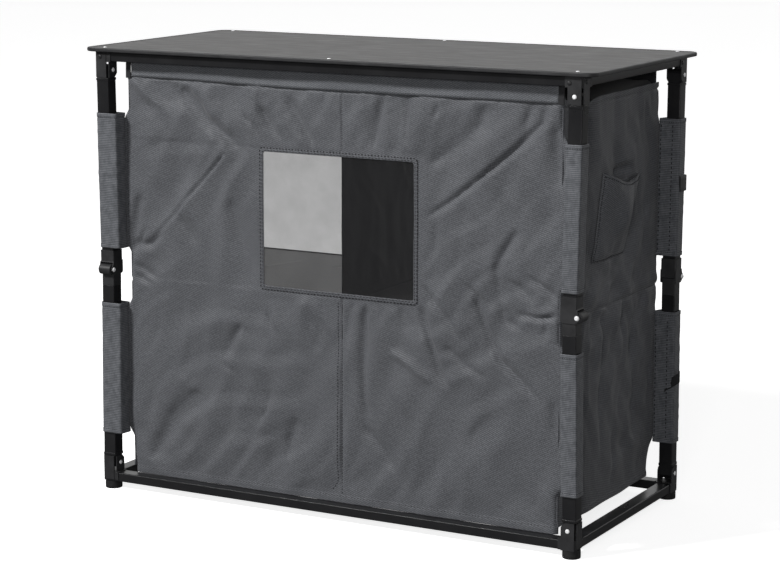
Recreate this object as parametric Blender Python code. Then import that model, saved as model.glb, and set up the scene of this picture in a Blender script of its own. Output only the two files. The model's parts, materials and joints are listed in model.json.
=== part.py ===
"""Folding camping cupboard: a fabric cabinet hung in a tube frame whose four legs fold at the knee.

The front, which carries the clear window, faces -Y. Right is +X. The feet stand on Z = 0.
Each corner leg has a lower and an upper half. Going round the frame, each leg folds towards the
next corner, so all four turn inward alike. All sizes are in metres and all angles in degrees.
"""
import math

import bmesh
import bpy
import numpy as np
from mathutils import Matrix, Vector

# Driving dimensions: the worktop
HEIGHT = 0.800
BOARD_HALF_X = 0.4905
BOARD_HALF_Y = 0.2295
BOARD_THICK = 0.0070
BOARD_CORNER = 0.022
TRIM_WIDTH = 0.0095
TRIM_PROUD = 0.0004
SCREW_X = 0.4545
SCREW_Y = 0.211
SCREW_RADIUS = 0.0038
SCREW_RISE = 0.0003
SCREW_SINK = 0.0015
TRIM_CHAMFER = 0.0012

# Driving dimensions: the frame
POST_X = 0.456
POST_Y = 0.208
TUBE = 0.025
TUBE_WALL = 0.0014
TUBE_CORNER = 0.0022
RAIL_HEIGHT = 0.0165
RAIL_BOTTOM = 0.0145
BRACKET = 0.028
BRACKET_CHEEK = 0.0015
BRACKET_REACH = 0.0135
BRACKET_ROUND = 0.004
BRACKET_BACK = 0.0025
BLOCK_OVER_RAIL = 0.0012
PLUG_LENGTH = 0.014
COLLAR_LENGTH = 0.005
FOOT_RADIUS = 0.0154
FOOT_EDGE = 0.0012
FOOT_HEIGHT = 0.0137
GAP = 0.0003

# Driving dimensions: the folding legs
LOW_PIVOT_Z = 0.0475
KNEE_Z = 0.404
END_PIVOT_INSET = 0.0015
KNEE_OFFSET = 0.0150
LEG_LEAN = 1.0
KNUCKLE_LENGTH = 0.030
BARREL_RADIUS = 0.0095
BARREL_WIDTH = 0.0244
CAP_WALL = 0.0020
CAP_BELOW_PIN = 0.010
CAP_ABOVE_PIN = 0.0335
PIN_RADIUS = 0.0022
PIN_SLACK = 0.00008
PIN_SIDES = 16
PIN_HEAD_RADIUS = 0.0043
PIN_HEAD_RISE = 0.0016
LIP_HALF = 0.0135
LIP_NEAR = 0.0143
LIP_FAR = 0.0185
LIP_CORNER = 0.003
TONGUE_HALF = 0.0100
NOSE_RADIUS = 0.0098
END_PLUG_DEPTH = 0.012

# Driving dimensions: the cloth sleeves round the legs
SLEEVE_HALF = 0.01425
SLEEVE_WALL = 0.0013
SLEEVE_CORNER = 0.0045
LOWER_SLEEVE = (0.105, 0.343)
UPPER_SLEEVE = (0.443, 0.684)
SLEEVE_EAR = 0.014
SLEEVE_REACH = {"front_right": 0.0, "back_right": 0.011, "back_left": 0.0, "front_left": 0.015}

# Driving dimensions: the cloth cabinet
BODY_LEFT = -0.418
BODY_RIGHT = 0.425
BODY_FRONT = -0.198
BODY_BACK = 0.204
BODY_TOP = 0.753
CLOTH = 0.0012
FRONT_HEM_LOW = 0.0338
SIDE_HEM_LOW = 0.0430
HANGER_TOP = 0.7758
HANGER_LEFT = -0.4175
HANGER_RIGHT = 0.4255
WINDOW_X = (-0.138, 0.155)
WINDOW_Z = (0.400, 0.634)
DIVIDER_X = 0.021
SHELF_TOP = 0.389
SHELF_THICK = 0.005
SHELF_BACK = 0.1925
FLOOR_TOP = 0.0475
FLOOR_THICK = 0.0045
BACK_HEM_IN = 0.018
BACK_HEM_FADE = (0.070, 0.119)
BACK_KNEE_OUT = 0.008
BACK_KNEE_START = (0.335, 0.365)
BACK_KNEE_END = (0.420, 0.450)

# Sizes that follow from the driving dimensions
BOARD_UNDER = HEIGHT - BOARD_THICK
TOP_RAIL_BOTTOM = BOARD_UNDER - GAP - RAIL_HEIGHT
HALF_LENGTH = ((KNEE_Z - LOW_PIVOT_Z) - (KNEE_OFFSET + END_PIVOT_INSET) * math.sin(math.radians(LEG_LEAN))
               ) / math.cos(math.radians(LEG_LEAN))
HIGH_PIVOT_Z = 2.0 * KNEE_Z - LOW_PIVOT_Z
PIVOT_SPAN_X = KNEE_OFFSET + END_PIVOT_INSET

# Each corner: the place of its post and the turn that points its outward side away from the fold
CORNERS = {
    "front_right": (POST_X, -POST_Y, 0.0),
    "back_right": (POST_X, POST_Y, 90.0),
    "back_left": (-POST_X, POST_Y, 180.0),
    "front_left": (-POST_X, -POST_Y, 270.0),
}

BLACK_PLASTIC = ("black_plastic", (0.030, 0.031, 0.033), 0.55, 0.0)
BLACK_TUBE = ("black_tube", (0.034, 0.034, 0.035), 0.42, 0.6)
BRIGHT_STEEL = ("bright_steel", (0.72, 0.72, 0.73), 0.28, 1.0)
BOARD_GREY = ("board_grey", (0.165, 0.162, 0.157), 0.50, 0.0)
TRIM_BLACK = ("trim_black", (0.040, 0.040, 0.040), 0.45, 0.0)
RUBBER_BLACK = ("rubber_black", (0.020, 0.020, 0.021), 0.80, 0.0)
CLOTH_GREY = ("cloth_grey", (0.088, 0.092, 0.100), 0.85, 0.0)
SHELF_GREY = ("shelf_grey", (0.110, 0.112, 0.116), 0.80, 0.0)
CLEAR_FILM = ("clear_film", (0.62, 0.62, 0.62), 0.12, 0.0)


def clear_scene():
    for item in list(bpy.data.objects):
        bpy.data.objects.remove(item, do_unlink=True)


def make_material(name, finish):
    """One Principled material for one object, from a (kind, colour, roughness, metallic) finish."""
    kind, colour, roughness, metallic = finish
    material = bpy.data.materials.new(name + "_" + kind)
    material.use_nodes = True
    shader = material.node_tree.nodes["Principled BSDF"]
    shader.inputs["Base Color"].default_value = (*colour, 1.0)
    shader.inputs["Roughness"].default_value = roughness
    shader.inputs["Metallic"].default_value = metallic
    return material


def rounded_rectangle(x0, x1, y0, y1, radius, steps=2):
    """Corner points of a rectangle whose corners are arcs of the given radius."""
    points = []
    centres = ((x1 - radius, y1 - radius, 0), (x0 + radius, y1 - radius, 90),
               (x0 + radius, y0 + radius, 180), (x1 - radius, y0 + radius, 270))
    for cx, cy, start in centres:
        for step in range(steps + 1):
            angle = math.radians(start + 90.0 * step / steps)
            points.append((cx + radius * math.cos(angle), cy + radius * math.sin(angle)))
    return points


def arc_points(cx, cy, radius, start, end, steps):
    """Points on a circle from one angle to another, both included."""
    angles = [math.radians(start + (end - start) * step / steps) for step in range(steps + 1)]
    return [(cx + radius * math.cos(angle), cy + radius * math.sin(angle)) for angle in angles]


def prism(outline, low, high, axis="Z"):
    """Closed solid: a flat outline pushed along one axis. Along Y the outline holds (x, z) pairs."""
    shell = bmesh.new()
    if axis == "Z":
        ring = [shell.verts.new((a, b, low)) for a, b in outline]
    elif axis == "Y":
        ring = [shell.verts.new((a, low, b)) for a, b in outline]
    else:
        ring = [shell.verts.new((low, a, b)) for a, b in outline]
    face = shell.faces.new(ring)
    pushed = bmesh.ops.extrude_face_region(shell, geom=[face])
    depth = high - low
    shift = {"Z": Vector((0, 0, depth)), "Y": Vector((0, depth, 0)), "X": Vector((depth, 0, 0))}
    moved = [item for item in pushed["geom"] if isinstance(item, bmesh.types.BMVert)]
    bmesh.ops.translate(shell, verts=moved, vec=shift[axis])
    bmesh.ops.recalc_face_normals(shell, faces=shell.faces)
    return shell


def block(x0, x1, y0, y1, z0, z1):
    return prism([(x0, y0), (x1, y0), (x1, y1), (x0, y1)], z0, z1)


def turned(profile, axis, centre, sides):
    """Closed turned solid: (distance along the axis, radius) pairs spun round an axis through centre."""
    shell = bmesh.new()
    rings = []
    for along, radius in profile:
        ring = []
        for side in range(sides):
            angle = 2.0 * math.pi * side / sides
            across = (radius * math.cos(angle), radius * math.sin(angle))
            if axis == "Z":
                point = (across[0], across[1], along)
            else:
                point = (across[0], along, across[1])
            ring.append(shell.verts.new(Vector(centre) + Vector(point)))
        rings.append(ring)
    for near, far in zip(rings, rings[1:]):
        for side in range(sides):
            after = (side + 1) % sides
            shell.faces.new((near[side], near[after], far[after], far[side]))
    shell.faces.new(rings[0])
    shell.faces.new(rings[-1])
    bmesh.ops.recalc_face_normals(shell, faces=shell.faces)
    return shell


def mesh_from(shell, name):
    mesh = bpy.data.meshes.new(name)
    shell.to_mesh(mesh)
    shell.free()
    return mesh


def add_object(name, mesh, finish, parent=None, smooth_angle=35.0):
    """Put one finished mesh in the scene as a named sub-part with its own material."""
    item = bpy.data.objects.new(name, mesh)
    bpy.context.collection.objects.link(item)
    mesh.materials.clear()
    mesh.materials.append(make_material(name, finish))
    mesh.shade_smooth()
    mesh.set_sharp_from_angle(angle=math.radians(smooth_angle))
    if parent is not None:
        item.parent = parent
    return item


def combine(name, adds, cuts=()):
    """One closed mesh: the first solid joined with the other adds, then cut by each of the cuts."""
    scratch = []
    for shell in list(adds) + list(cuts):
        item = bpy.data.objects.new(name + "_piece", mesh_from(shell, name + "_piece"))
        bpy.context.collection.objects.link(item)
        scratch.append(item)
    body = scratch[0]
    for number, item in enumerate(scratch[1:], start=1):
        step = body.modifiers.new("step", "BOOLEAN")
        step.solver = "EXACT"
        step.operation = "UNION" if number < len(adds) else "DIFFERENCE"
        step.object = item
    bpy.context.view_layer.update()
    view = bpy.context.evaluated_depsgraph_get()
    mesh = bpy.data.meshes.new_from_object(body.evaluated_get(view))
    mesh.name = name
    for item in scratch:
        bpy.data.objects.remove(item, do_unlink=True)
    return mesh


def add_empty(name, matrix):
    item = bpy.data.objects.new(name, None)
    item.empty_display_size = 0.03
    item.matrix_world = matrix
    bpy.context.collection.objects.link(item)
    return item


def corner_matrix(corner, x, z, lean=0.0):
    """World matrix of a point in a corner's own frame: X outward, Y along the pivots, Z up."""
    post_x, post_y, turn = CORNERS[corner]
    place = Matrix.Translation((post_x, post_y, 0.0)) @ Matrix.Rotation(math.radians(turn), 4, "Z")
    return place @ Matrix.Translation((x, 0.0, z)) @ Matrix.Rotation(math.radians(lean), 4, "Y")


def rivet(centre, half_span, shaft_radius, head_radius, head_rise, sides=PIN_SIDES):
    """Through rivet along Y: two domed heads outside the cheeks and the shaft between them."""
    reach = half_span + head_rise
    profile = [(-reach, head_radius * 0.45), (-half_span - head_rise * 0.6, head_radius * 0.85),
               (-half_span, head_radius), (-half_span, shaft_radius), (half_span, shaft_radius),
               (half_span, head_radius), (half_span + head_rise * 0.6, head_radius * 0.85),
               (reach, head_radius * 0.45)]
    return turned(profile, "Y", centre, sides)


def make_table():
    """Worktop board in its black edge trim, with the heads of its six screws."""
    inner = TRIM_WIDTH + GAP
    plate = prism(rounded_rectangle(-BOARD_HALF_X + inner, BOARD_HALF_X - inner, -BOARD_HALF_Y + inner,
                                    BOARD_HALF_Y - inner, BOARD_CORNER - inner, 3),
                  BOARD_UNDER, HEIGHT - TRIM_PROUD)
    heads = []
    for x in (-SCREW_X, 0.0, SCREW_X):
        for y in (-SCREW_Y, SCREW_Y):
            profile = [(-SCREW_SINK, SCREW_RADIUS), (SCREW_RISE / 2.0, SCREW_RADIUS),
                       (SCREW_RISE, SCREW_RADIUS * 0.7)]
            heads.append(turned(profile, "Z", (x, y, HEIGHT - TRIM_PROUD), 10))
    add_object("table_board", combine("table_board", [plate] + heads), BOARD_GREY)
    outer = prism(rounded_rectangle(-BOARD_HALF_X, BOARD_HALF_X, -BOARD_HALF_Y, BOARD_HALF_Y,
                                    BOARD_CORNER, 5), BOARD_UNDER, HEIGHT)
    bmesh.ops.bevel(outer, geom=[line for line in outer.edges
                                 if abs(line.verts[0].co.z - line.verts[1].co.z) < 1e-6],
                    offset=TRIM_CHAMFER, segments=1, affect="EDGES")
    hole = prism(rounded_rectangle(-BOARD_HALF_X + TRIM_WIDTH, BOARD_HALF_X - TRIM_WIDTH,
                                   -BOARD_HALF_Y + TRIM_WIDTH, BOARD_HALF_Y - TRIM_WIDTH,
                                   BOARD_CORNER - TRIM_WIDTH, 3), BOARD_UNDER - 0.01, HEIGHT + 0.01)
    add_object("board_trim", combine("board_trim", [outer], [hole]), TRIM_BLACK)


def rail_mesh(name, length):
    """Hollow flat tube along X with rounded long edges and both ends open."""
    half = length / 2.0
    outline = rounded_rectangle(-TUBE / 2.0, TUBE / 2.0, 0.0, RAIL_HEIGHT, TUBE_CORNER)
    wall = TUBE_WALL
    bore = [(-TUBE / 2.0 + wall, wall), (TUBE / 2.0 - wall, wall),
            (TUBE / 2.0 - wall, RAIL_HEIGHT - wall), (-TUBE / 2.0 + wall, RAIL_HEIGHT - wall)]
    return combine(name, [prism(outline, -half, half, "X")], [prism(bore, -half - 0.01, half + 0.01, "X")])


def make_rails():
    """Four bottom and four top rails between the corner brackets."""
    long_length = 2.0 * (POST_X - BRACKET / 2.0 - GAP)
    short_length = 2.0 * (POST_Y - BRACKET / 2.0 - GAP)
    for level, z in (("bottom", RAIL_BOTTOM), ("top", TOP_RAIL_BOTTOM)):
        for side, y in (("front", -POST_Y), ("back", POST_Y)):
            name = level + "_rail_" + side
            item = add_object(name, rail_mesh(name, long_length), BLACK_TUBE)
            item.location = (0.0, y, z)
        for side, x in (("left", -POST_X), ("right", POST_X)):
            name = level + "_rail_" + side
            item = add_object(name, rail_mesh(name, short_length), BLACK_TUBE)
            item.location = (x, 0.0, z)
            item.rotation_euler = (0.0, 0.0, math.radians(90.0))


def bracket_mesh(name, upward, rail_near, base):
    """Corner bracket in its corner's frame, measured from its leg pivot, with the riveted pivot pin.

    A solid block carries the plugs for the two rails. Beyond it two cheeks stand either side of the
    leg's tongue, open on the inner side, towards which the leg folds. upward is 1 for the bottom
    bracket and -1 for the top one. rail_near and base are the distances from the pivot to the rails
    and to the far end of the block.
    """
    half = BRACKET / 2.0
    pivot_x = -END_PIVOT_INSET
    floor = -(rail_near - BLOCK_OVER_RAIL)
    round_radius = BRACKET_REACH + GAP
    corner_arc = arc_points(pivot_x, 0.0, round_radius, 90.0, 155.0, 4)
    edge = [(-half, -base * upward), (half, -base * upward), (half, BRACKET_REACH * upward)]
    edge += [(x, min(z, BRACKET_REACH) * upward) for x, z in corner_arc if x > -half + 0.0006]
    edge += [(-half, math.sqrt(round_radius ** 2 - (half - END_PIVOT_INSET) ** 2) * upward)]
    body = prism(edge, -half, half, "Y")
    outer_edges = [line for line in body.edges
                   if abs(line.verts[0].co.x - half) < 1e-6 and abs(line.verts[1].co.x - half) < 1e-6
                   and abs(line.verts[0].co.z - line.verts[1].co.z) > 0.01]
    bmesh.ops.bevel(body, geom=outer_edges, offset=BRACKET_ROUND, segments=3, affect="EDGES")
    plug_half = TUBE / 2.0 - TUBE_WALL - GAP
    plug_low, plug_high = sorted((-(rail_near + RAIL_HEIGHT - TUBE_WALL - GAP) * upward,
                                  -(rail_near + TUBE_WALL + GAP) * upward))
    plug_one = block(-half - PLUG_LENGTH, 0.0, -plug_half, plug_half, plug_low, plug_high)
    plug_two = block(-plug_half, plug_half, 0.0, half + PLUG_LENGTH, plug_low, plug_high)
    collar = half + COLLAR_LENGTH
    clear = TUBE / 2.0 + GAP
    nudge = 0.0001
    collar_low, collar_high = sorted(((floor - nudge) * upward, -(base - 0.001) * upward))
    hollow_low, hollow_high = sorted((-(rail_near - GAP) * upward, -(base + 0.01) * upward))
    inset = half - nudge
    root = half - 0.003
    skin = half + nudge
    collar_one = block(-collar, -root, -inset, inset, collar_low, collar_high)
    collar_two = block(-inset, inset, root, collar, collar_low, collar_high)
    hollow_one = block(-collar - 0.01, -skin, -clear, clear, hollow_low, hollow_high)
    hollow_two = block(-clear, clear, skin, collar + 0.01, hollow_low, hollow_high)
    chamfer = prism([(half - 0.003, -(base + 0.002) * upward), (half + 0.002, -(base + 0.002) * upward),
                     (half + 0.002, -(base - 0.0045) * upward), (half - 0.0005, -(base - 0.0035) * upward)],
                    -half - 0.01, half + 0.01, "Y")
    slot_low, slot_high = sorted((floor * upward, 0.03 * upward))
    cheek = half - BRACKET_CHEEK
    slot = block(-half - 0.01, half - BRACKET_BACK, -cheek, cheek, slot_low, slot_high)
    pin = rivet((pivot_x, 0.0, 0.0), half, PIN_RADIUS, PIN_HEAD_RADIUS, PIN_HEAD_RISE)
    bare = combine(name + "_bare", [body, collar_one, collar_two], [slot, hollow_one, hollow_two, chamfer])
    shell = bmesh.new()
    shell.from_mesh(bare)
    bpy.data.meshes.remove(bare)
    return combine(name, [shell, plug_one, plug_two, pin])


def make_brackets():
    """Bottom and top corner brackets, and the round foot under each bottom one."""
    for corner in CORNERS:
        low = add_empty("bottom_corner_" + corner, corner_matrix(corner, 0.0, LOW_PIVOT_Z))
        high = add_empty("top_corner_" + corner, corner_matrix(corner, 0.0, HIGH_PIVOT_Z))
        name = "bottom_bracket_" + corner
        near = LOW_PIVOT_Z - RAIL_BOTTOM - RAIL_HEIGHT
        mesh = bracket_mesh(name, 1.0, near, LOW_PIVOT_Z - FOOT_HEIGHT - GAP)
        add_object(name, mesh, BLACK_PLASTIC, low)
        name = "top_bracket_" + corner
        near = TOP_RAIL_BOTTOM - HIGH_PIVOT_Z
        mesh = bracket_mesh(name, -1.0, near, BOARD_UNDER - GAP - HIGH_PIVOT_Z)
        add_object(name, mesh, BLACK_PLASTIC, high)
        profile = [(0.0, FOOT_RADIUS - FOOT_EDGE), (FOOT_EDGE, FOOT_RADIUS), (FOOT_HEIGHT, FOOT_RADIUS)]
        foot = turned(profile, "Z", (0.0, 0.0, 0.0), 20)
        item = add_object("foot_" + corner, mesh_from(foot, "foot"), RUBBER_BLACK)
        item.location = (CORNERS[corner][0], CORNERS[corner][1], 0.0)


def leg_tube(name, direction, start, end, axis_x):
    """Half leg measured from its end pivot: the tongue and lip of its end plug, and its open tube.

    direction is 1 where the tube runs up from the pivot and -1 where it runs down.
    """
    tongue_y = BRACKET / 2.0 - BRACKET_CHEEK - GAP
    tongue_far = (LIP_NEAR + 0.001) * direction
    nose = arc_points(0.0, 0.0, NOSE_RADIUS, 195.0, 345.0, 6)
    outline = [(x, z * direction) for x, z in nose]
    outline += [(axis_x + TONGUE_HALF, tongue_far), (axis_x - TONGUE_HALF, tongue_far)]
    tongue = prism(outline, -tongue_y, tongue_y, "Y")
    low, high = sorted((LIP_NEAR * direction, LIP_FAR * direction))
    lip = prism(rounded_rectangle(axis_x - LIP_HALF, axis_x + LIP_HALF, -LIP_HALF, LIP_HALF,
                                  LIP_CORNER), low, high)
    low, high = sorted((start * direction, end * direction))
    half = TUBE / 2.0
    tube = prism(rounded_rectangle(axis_x - half, axis_x + half, -half, half, TUBE_CORNER), low, high)
    inner = half - TUBE_WALL
    low, high = sorted(((start + END_PLUG_DEPTH) * direction, (end + 0.01) * direction))
    bore = block(axis_x - inner, axis_x + inner, -inner, inner, low, high)
    eye_radius = PIN_RADIUS + PIN_SLACK
    eye = turned([(-0.02, eye_radius), (0.02, eye_radius)], "Y", (0, 0, 0), PIN_SIDES)
    return combine(name, [tongue, lip, tube], [bore, eye])


def knuckle_mesh(name, pin_x, pin_z):
    """Lower half of the knee: the plug in the lower tube's end and the barrel round the knee pin."""
    half = TUBE / 2.0
    axis_x = pin_x - KNEE_OFFSET
    plug = prism(rounded_rectangle(axis_x - half, axis_x + half, -half, half, TUBE_CORNER),
                 pin_z - KNUCKLE_LENGTH, pin_z - 0.0005)
    side = BARREL_WIDTH / 2.0
    barrel = turned([(-side, BARREL_RADIUS - 0.0008), (-side + 0.0008, BARREL_RADIUS),
                     (side - 0.0008, BARREL_RADIUS), (side, BARREL_RADIUS - 0.0008)], "Y",
                    (pin_x, 0.0, pin_z), 20)
    eye_radius = PIN_RADIUS + PIN_SLACK
    eye = turned([(-0.02, eye_radius), (0.02, eye_radius)], "Y", (pin_x, 0.0, pin_z), PIN_SIDES)
    return combine(name, [plug, barrel], [eye])


def cap_mesh(name):
    """Upper half of the knee, measured from its pin: a socket round the tube, a stop and two cheeks."""
    axis_x = -KNEE_OFFSET
    half = TUBE / 2.0
    wall = half + CAP_WALL
    left = axis_x - wall
    right = axis_x + wall - 0.0005
    web_low = 0.0
    web_high = BARREL_RADIUS + 0.0025
    cheek = [(left, web_high + 0.002), (left, -CAP_BELOW_PIN + 0.005)]
    cheek += arc_points(left + 0.005, -CAP_BELOW_PIN + 0.005, 0.005, 180.0, 270.0, 3)[1:]
    cheek += [(-0.004, -CAP_BELOW_PIN)]
    cheek += arc_points(0.0, 0.0, 0.0060, -70.0, 70.0, 5)
    cheek += [(right, web_high + 0.002)]
    body = prism(cheek, -wall, wall, "Y")
    socket = prism(rounded_rectangle(left, right, -wall, wall, 0.0030), web_high, CAP_ABOVE_PIN)
    mouth = block(left - 0.01, 0.02, -half - GAP, half + GAP, -0.03, web_low)
    relief = block(axis_x + 0.005, 0.02, -half - GAP, half + GAP, -0.03, web_high)
    clear = half + GAP
    bore = prism(rounded_rectangle(axis_x - clear, axis_x + clear, -clear, clear, TUBE_CORNER),
                 web_high + 0.0015, CAP_ABOVE_PIN + 0.01)
    eye_radius = PIN_RADIUS + PIN_SLACK
    eye = turned([(-0.03, eye_radius), (0.03, eye_radius)], "Y", (0, 0, 0), PIN_SIDES)
    return combine(name, [body, socket], [mouth, relief, bore, eye])


def sleeve_mesh(name, axis_x, low, high, reach):
    """Cloth sleeve round a half leg: a soft-cornered square tube, a little fuller at mid length.

    reach widens it on the corner's +Y side, where it is sewn to the cabinet.
    """
    rings = 4
    sides = rounded_rectangle(-1.0, 1.0, -1.0, 1.0, SLEEVE_CORNER / SLEEVE_HALF, 2)
    hollow = SLEEVE_HALF - SLEEVE_WALL
    inner_sides = rounded_rectangle(-hollow, hollow, -hollow, hollow, TUBE_CORNER + 0.0003, 2)
    shell = bmesh.new()
    outer = []
    inner = []
    for step in range(rings + 1):
        share = step / rings
        full = SLEEVE_HALF + 0.0004 * math.sin(math.pi * share)
        z = low + (high - low) * share
        outer.append([shell.verts.new((axis_x + a * full, b * full + reach * (b > 0.0), z)) for a, b in sides])
        inner.append([shell.verts.new((axis_x + a, b + reach * (b > 0.0), z)) for a, b in inner_sides])
    count = len(sides)
    for skin in (outer, inner):
        for near, far in zip(skin, skin[1:]):
            for side in range(count):
                after = (side + 1) % count
                shell.faces.new((near[side], near[after], far[after], far[side]))
    for end in (0, rings):
        for side in range(count):
            after = (side + 1) % count
            shell.faces.new((outer[end][side], outer[end][after], inner[end][after], inner[end][side]))
    bmesh.ops.recalc_face_normals(shell, faces=shell.faces)
    return mesh_from(shell, name)


def make_legs():
    """Each corner's folding leg: lower half, knuckle, cap, pin, upper half and the two sleeves."""
    for corner in CORNERS:
        low = add_empty("low_pivot_" + corner,
                        corner_matrix(corner, -END_PIVOT_INSET, LOW_PIVOT_Z, -LEG_LEAN))
        lean = math.radians(LEG_LEAN)
        knee_x = -END_PIVOT_INSET + PIVOT_SPAN_X * math.cos(lean) - HALF_LENGTH * math.sin(lean)
        knee = add_empty("knee_pivot_" + corner, corner_matrix(corner, knee_x, KNEE_Z, LEG_LEAN))
        high = add_empty("high_pivot_" + corner,
                         corner_matrix(corner, -END_PIVOT_INSET, HIGH_PIVOT_Z, LEG_LEAN))
        tube_end = HALF_LENGTH - KNUCKLE_LENGTH - GAP
        name = "lower_leg_" + corner
        add_object(name, leg_tube(name, 1.0, LIP_FAR - 0.001, tube_end, END_PIVOT_INSET), BLACK_TUBE, low)
        name = "lower_knuckle_" + corner
        add_object(name, knuckle_mesh(name, PIVOT_SPAN_X, HALF_LENGTH), BLACK_PLASTIC, low)
        name = "lower_sleeve_" + corner
        add_object(name, sleeve_mesh(name, END_PIVOT_INSET, LOWER_SLEEVE[0] - LOW_PIVOT_Z,
                                     LOWER_SLEEVE[1] - LOW_PIVOT_Z, SLEEVE_REACH[corner]), CLOTH_GREY, low)
        name = "knee_cap_" + corner
        add_object(name, cap_mesh(name), BLACK_PLASTIC, knee)
        name = "knee_pin_" + corner
        span = TUBE / 2.0 + CAP_WALL + GAP
        pin = rivet((0, 0, 0), span, PIN_RADIUS, PIN_HEAD_RADIUS, PIN_HEAD_RISE)
        add_object(name, mesh_from(pin, name), BRIGHT_STEEL, knee)
        name = "upper_leg_" + corner
        tube_end = HALF_LENGTH - (BARREL_RADIUS + 0.0025 + 0.0015 + GAP)
        add_object(name, leg_tube(name, -1.0, LIP_FAR - 0.001, tube_end, END_PIVOT_INSET), BLACK_TUBE, high)
        name = "upper_sleeve_" + corner
        add_object(name, sleeve_mesh(name, -KNEE_OFFSET, UPPER_SLEEVE[0] - KNEE_Z,
                                     UPPER_SLEEVE[1] - KNEE_Z, SLEEVE_REACH[corner]), CLOTH_GREY, knee)


# Creases of the hanging front cloth: two ends (x, z), half width and rise towards the viewer
FRONT_CREASES = (
    ((-0.405, 0.748), (-0.150, 0.640), 0.016, 0.0050),
    ((-0.330, 0.750), (-0.120, 0.650), 0.018, -0.0045),
    ((0.070, 0.752), (0.095, 0.640), 0.012, 0.0040),
    ((0.135, 0.752), (0.120, 0.640), 0.012, -0.0035),
    ((0.415, 0.745), (0.170, 0.560), 0.017, 0.0055),
    ((0.400, 0.690), (0.190, 0.520), 0.018, -0.0040),
    ((0.165, 0.400), (0.420, 0.190), 0.018, 0.0050),
    ((0.150, 0.395), (0.330, 0.090), 0.020, -0.0045),
    ((0.120, 0.390), (0.240, 0.060), 0.018, 0.0040),
    ((-0.130, 0.400), (-0.380, 0.090), 0.022, 0.0045),
    ((-0.410, 0.400), (-0.300, 0.380), 0.014, -0.0040),
    ((-0.060, 0.395), (-0.130, 0.070), 0.022, -0.0035),
)
SIDE_CREASES = (
    ((-0.120, 0.740), (0.120, 0.560), 0.020, 0.0040),
    ((0.190, 0.740), (0.020, 0.600), 0.018, -0.0035),
    ((-0.100, 0.380), (0.150, 0.180), 0.024, 0.0040),
    ((0.190, 0.370), (0.030, 0.110), 0.022, -0.0035),
)


def crease_rise(u, v, creases):
    """Rise of the cloth at (u, v): each crease is a round ridge that fades out at both ends."""
    rise = np.zeros_like(u)
    for (u0, v0), (u1, v1), width, height in creases:
        along_u = u1 - u0
        along_v = v1 - v0
        length = math.hypot(along_u, along_v)
        share = ((u - u0) * along_u + (v - v0) * along_v) / length ** 2
        across = ((u - u0) * along_v - (v - v0) * along_u) / length
        fade = np.clip(share * 4.0 + 0.5, 0.0, 1.0) * np.clip((1.0 - share) * 4.0 + 0.5, 0.0, 1.0)
        rise = rise + height * fade * np.exp(-(across / width) ** 2)
    return rise


def sheet_mesh(name, points, thick, away, holes=()):
    """Closed thin solid from a grid of points, thickened along the away direction.

    holes lists the (row, column) cells that are left open. Every open edge gets a rim.
    """
    rows, columns, _ = points.shape
    front = points
    back = points + np.array(away) * thick
    shell = bmesh.new()
    skins = []
    for skin in (front, back):
        skins.append([[shell.verts.new(skin[row, column]) for column in range(columns)]
                      for row in range(rows)])
    kept = {(row, column) for row in range(rows - 1) for column in range(columns - 1)} - set(holes)
    for row, column in kept:
        for skin in skins:
            shell.faces.new((skin[row][column], skin[row][column + 1],
                             skin[row + 1][column + 1], skin[row + 1][column]))
        sides = (((row, column), (row, column + 1), (row - 1, column)),
                 ((row + 1, column), (row + 1, column + 1), (row + 1, column)),
                 ((row, column), (row + 1, column), (row, column - 1)),
                 ((row, column + 1), (row + 1, column + 1), (row, column + 1)))
        for start, end, neighbour in sides:
            if neighbour not in kept:
                shell.faces.new((skins[0][start[0]][start[1]], skins[0][end[0]][end[1]],
                                 skins[1][end[0]][end[1]], skins[1][start[0]][start[1]]))
    loose = [point for point in shell.verts if not point.link_faces]
    bmesh.ops.delete(shell, geom=loose, context="VERTS")
    bmesh.ops.recalc_face_normals(shell, faces=shell.faces)
    return mesh_from(shell, name)


def soft_step(value, low, high):
    """0 below low, 1 above high, and a smooth rise between."""
    share = np.clip((value - low) / (high - low), 0.0, 1.0)
    return share * share * (3.0 - 2.0 * share)


def sleeve_band(z):
    """1 where the cloth reaches out to a leg's sleeve, 0 at the bare knee and at both leg ends."""
    edge = SLEEVE_EAR
    lower = soft_step(z, LOWER_SLEEVE[0] - edge, LOWER_SLEEVE[0] + edge)
    lower = lower * (1.0 - soft_step(z, LOWER_SLEEVE[1] - edge, LOWER_SLEEVE[1] + edge))
    upper = soft_step(z, UPPER_SLEEVE[0] - edge, UPPER_SLEEVE[0] + edge)
    upper = upper * (1.0 - soft_step(z, UPPER_SLEEVE[1] - edge, UPPER_SLEEVE[1] + edge))
    return lower + upper


def leg_lean_shift(z):
    """How far the leg stands inward of its post line at this height, most at the knee."""
    return math.tan(math.radians(LEG_LEAN)) * (KNEE_Z - LOW_PIVOT_Z - np.abs(z - KNEE_Z))


def breaks(*runs):
    """Grid lines: each run is (start, end, cells), and the runs follow on from each other."""
    lines = [runs[0][0]]
    for start, end, cells in runs:
        lines += [start + (end - start) * (cell + 1) / cells for cell in range(cells)]
    return np.array(lines)


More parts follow.
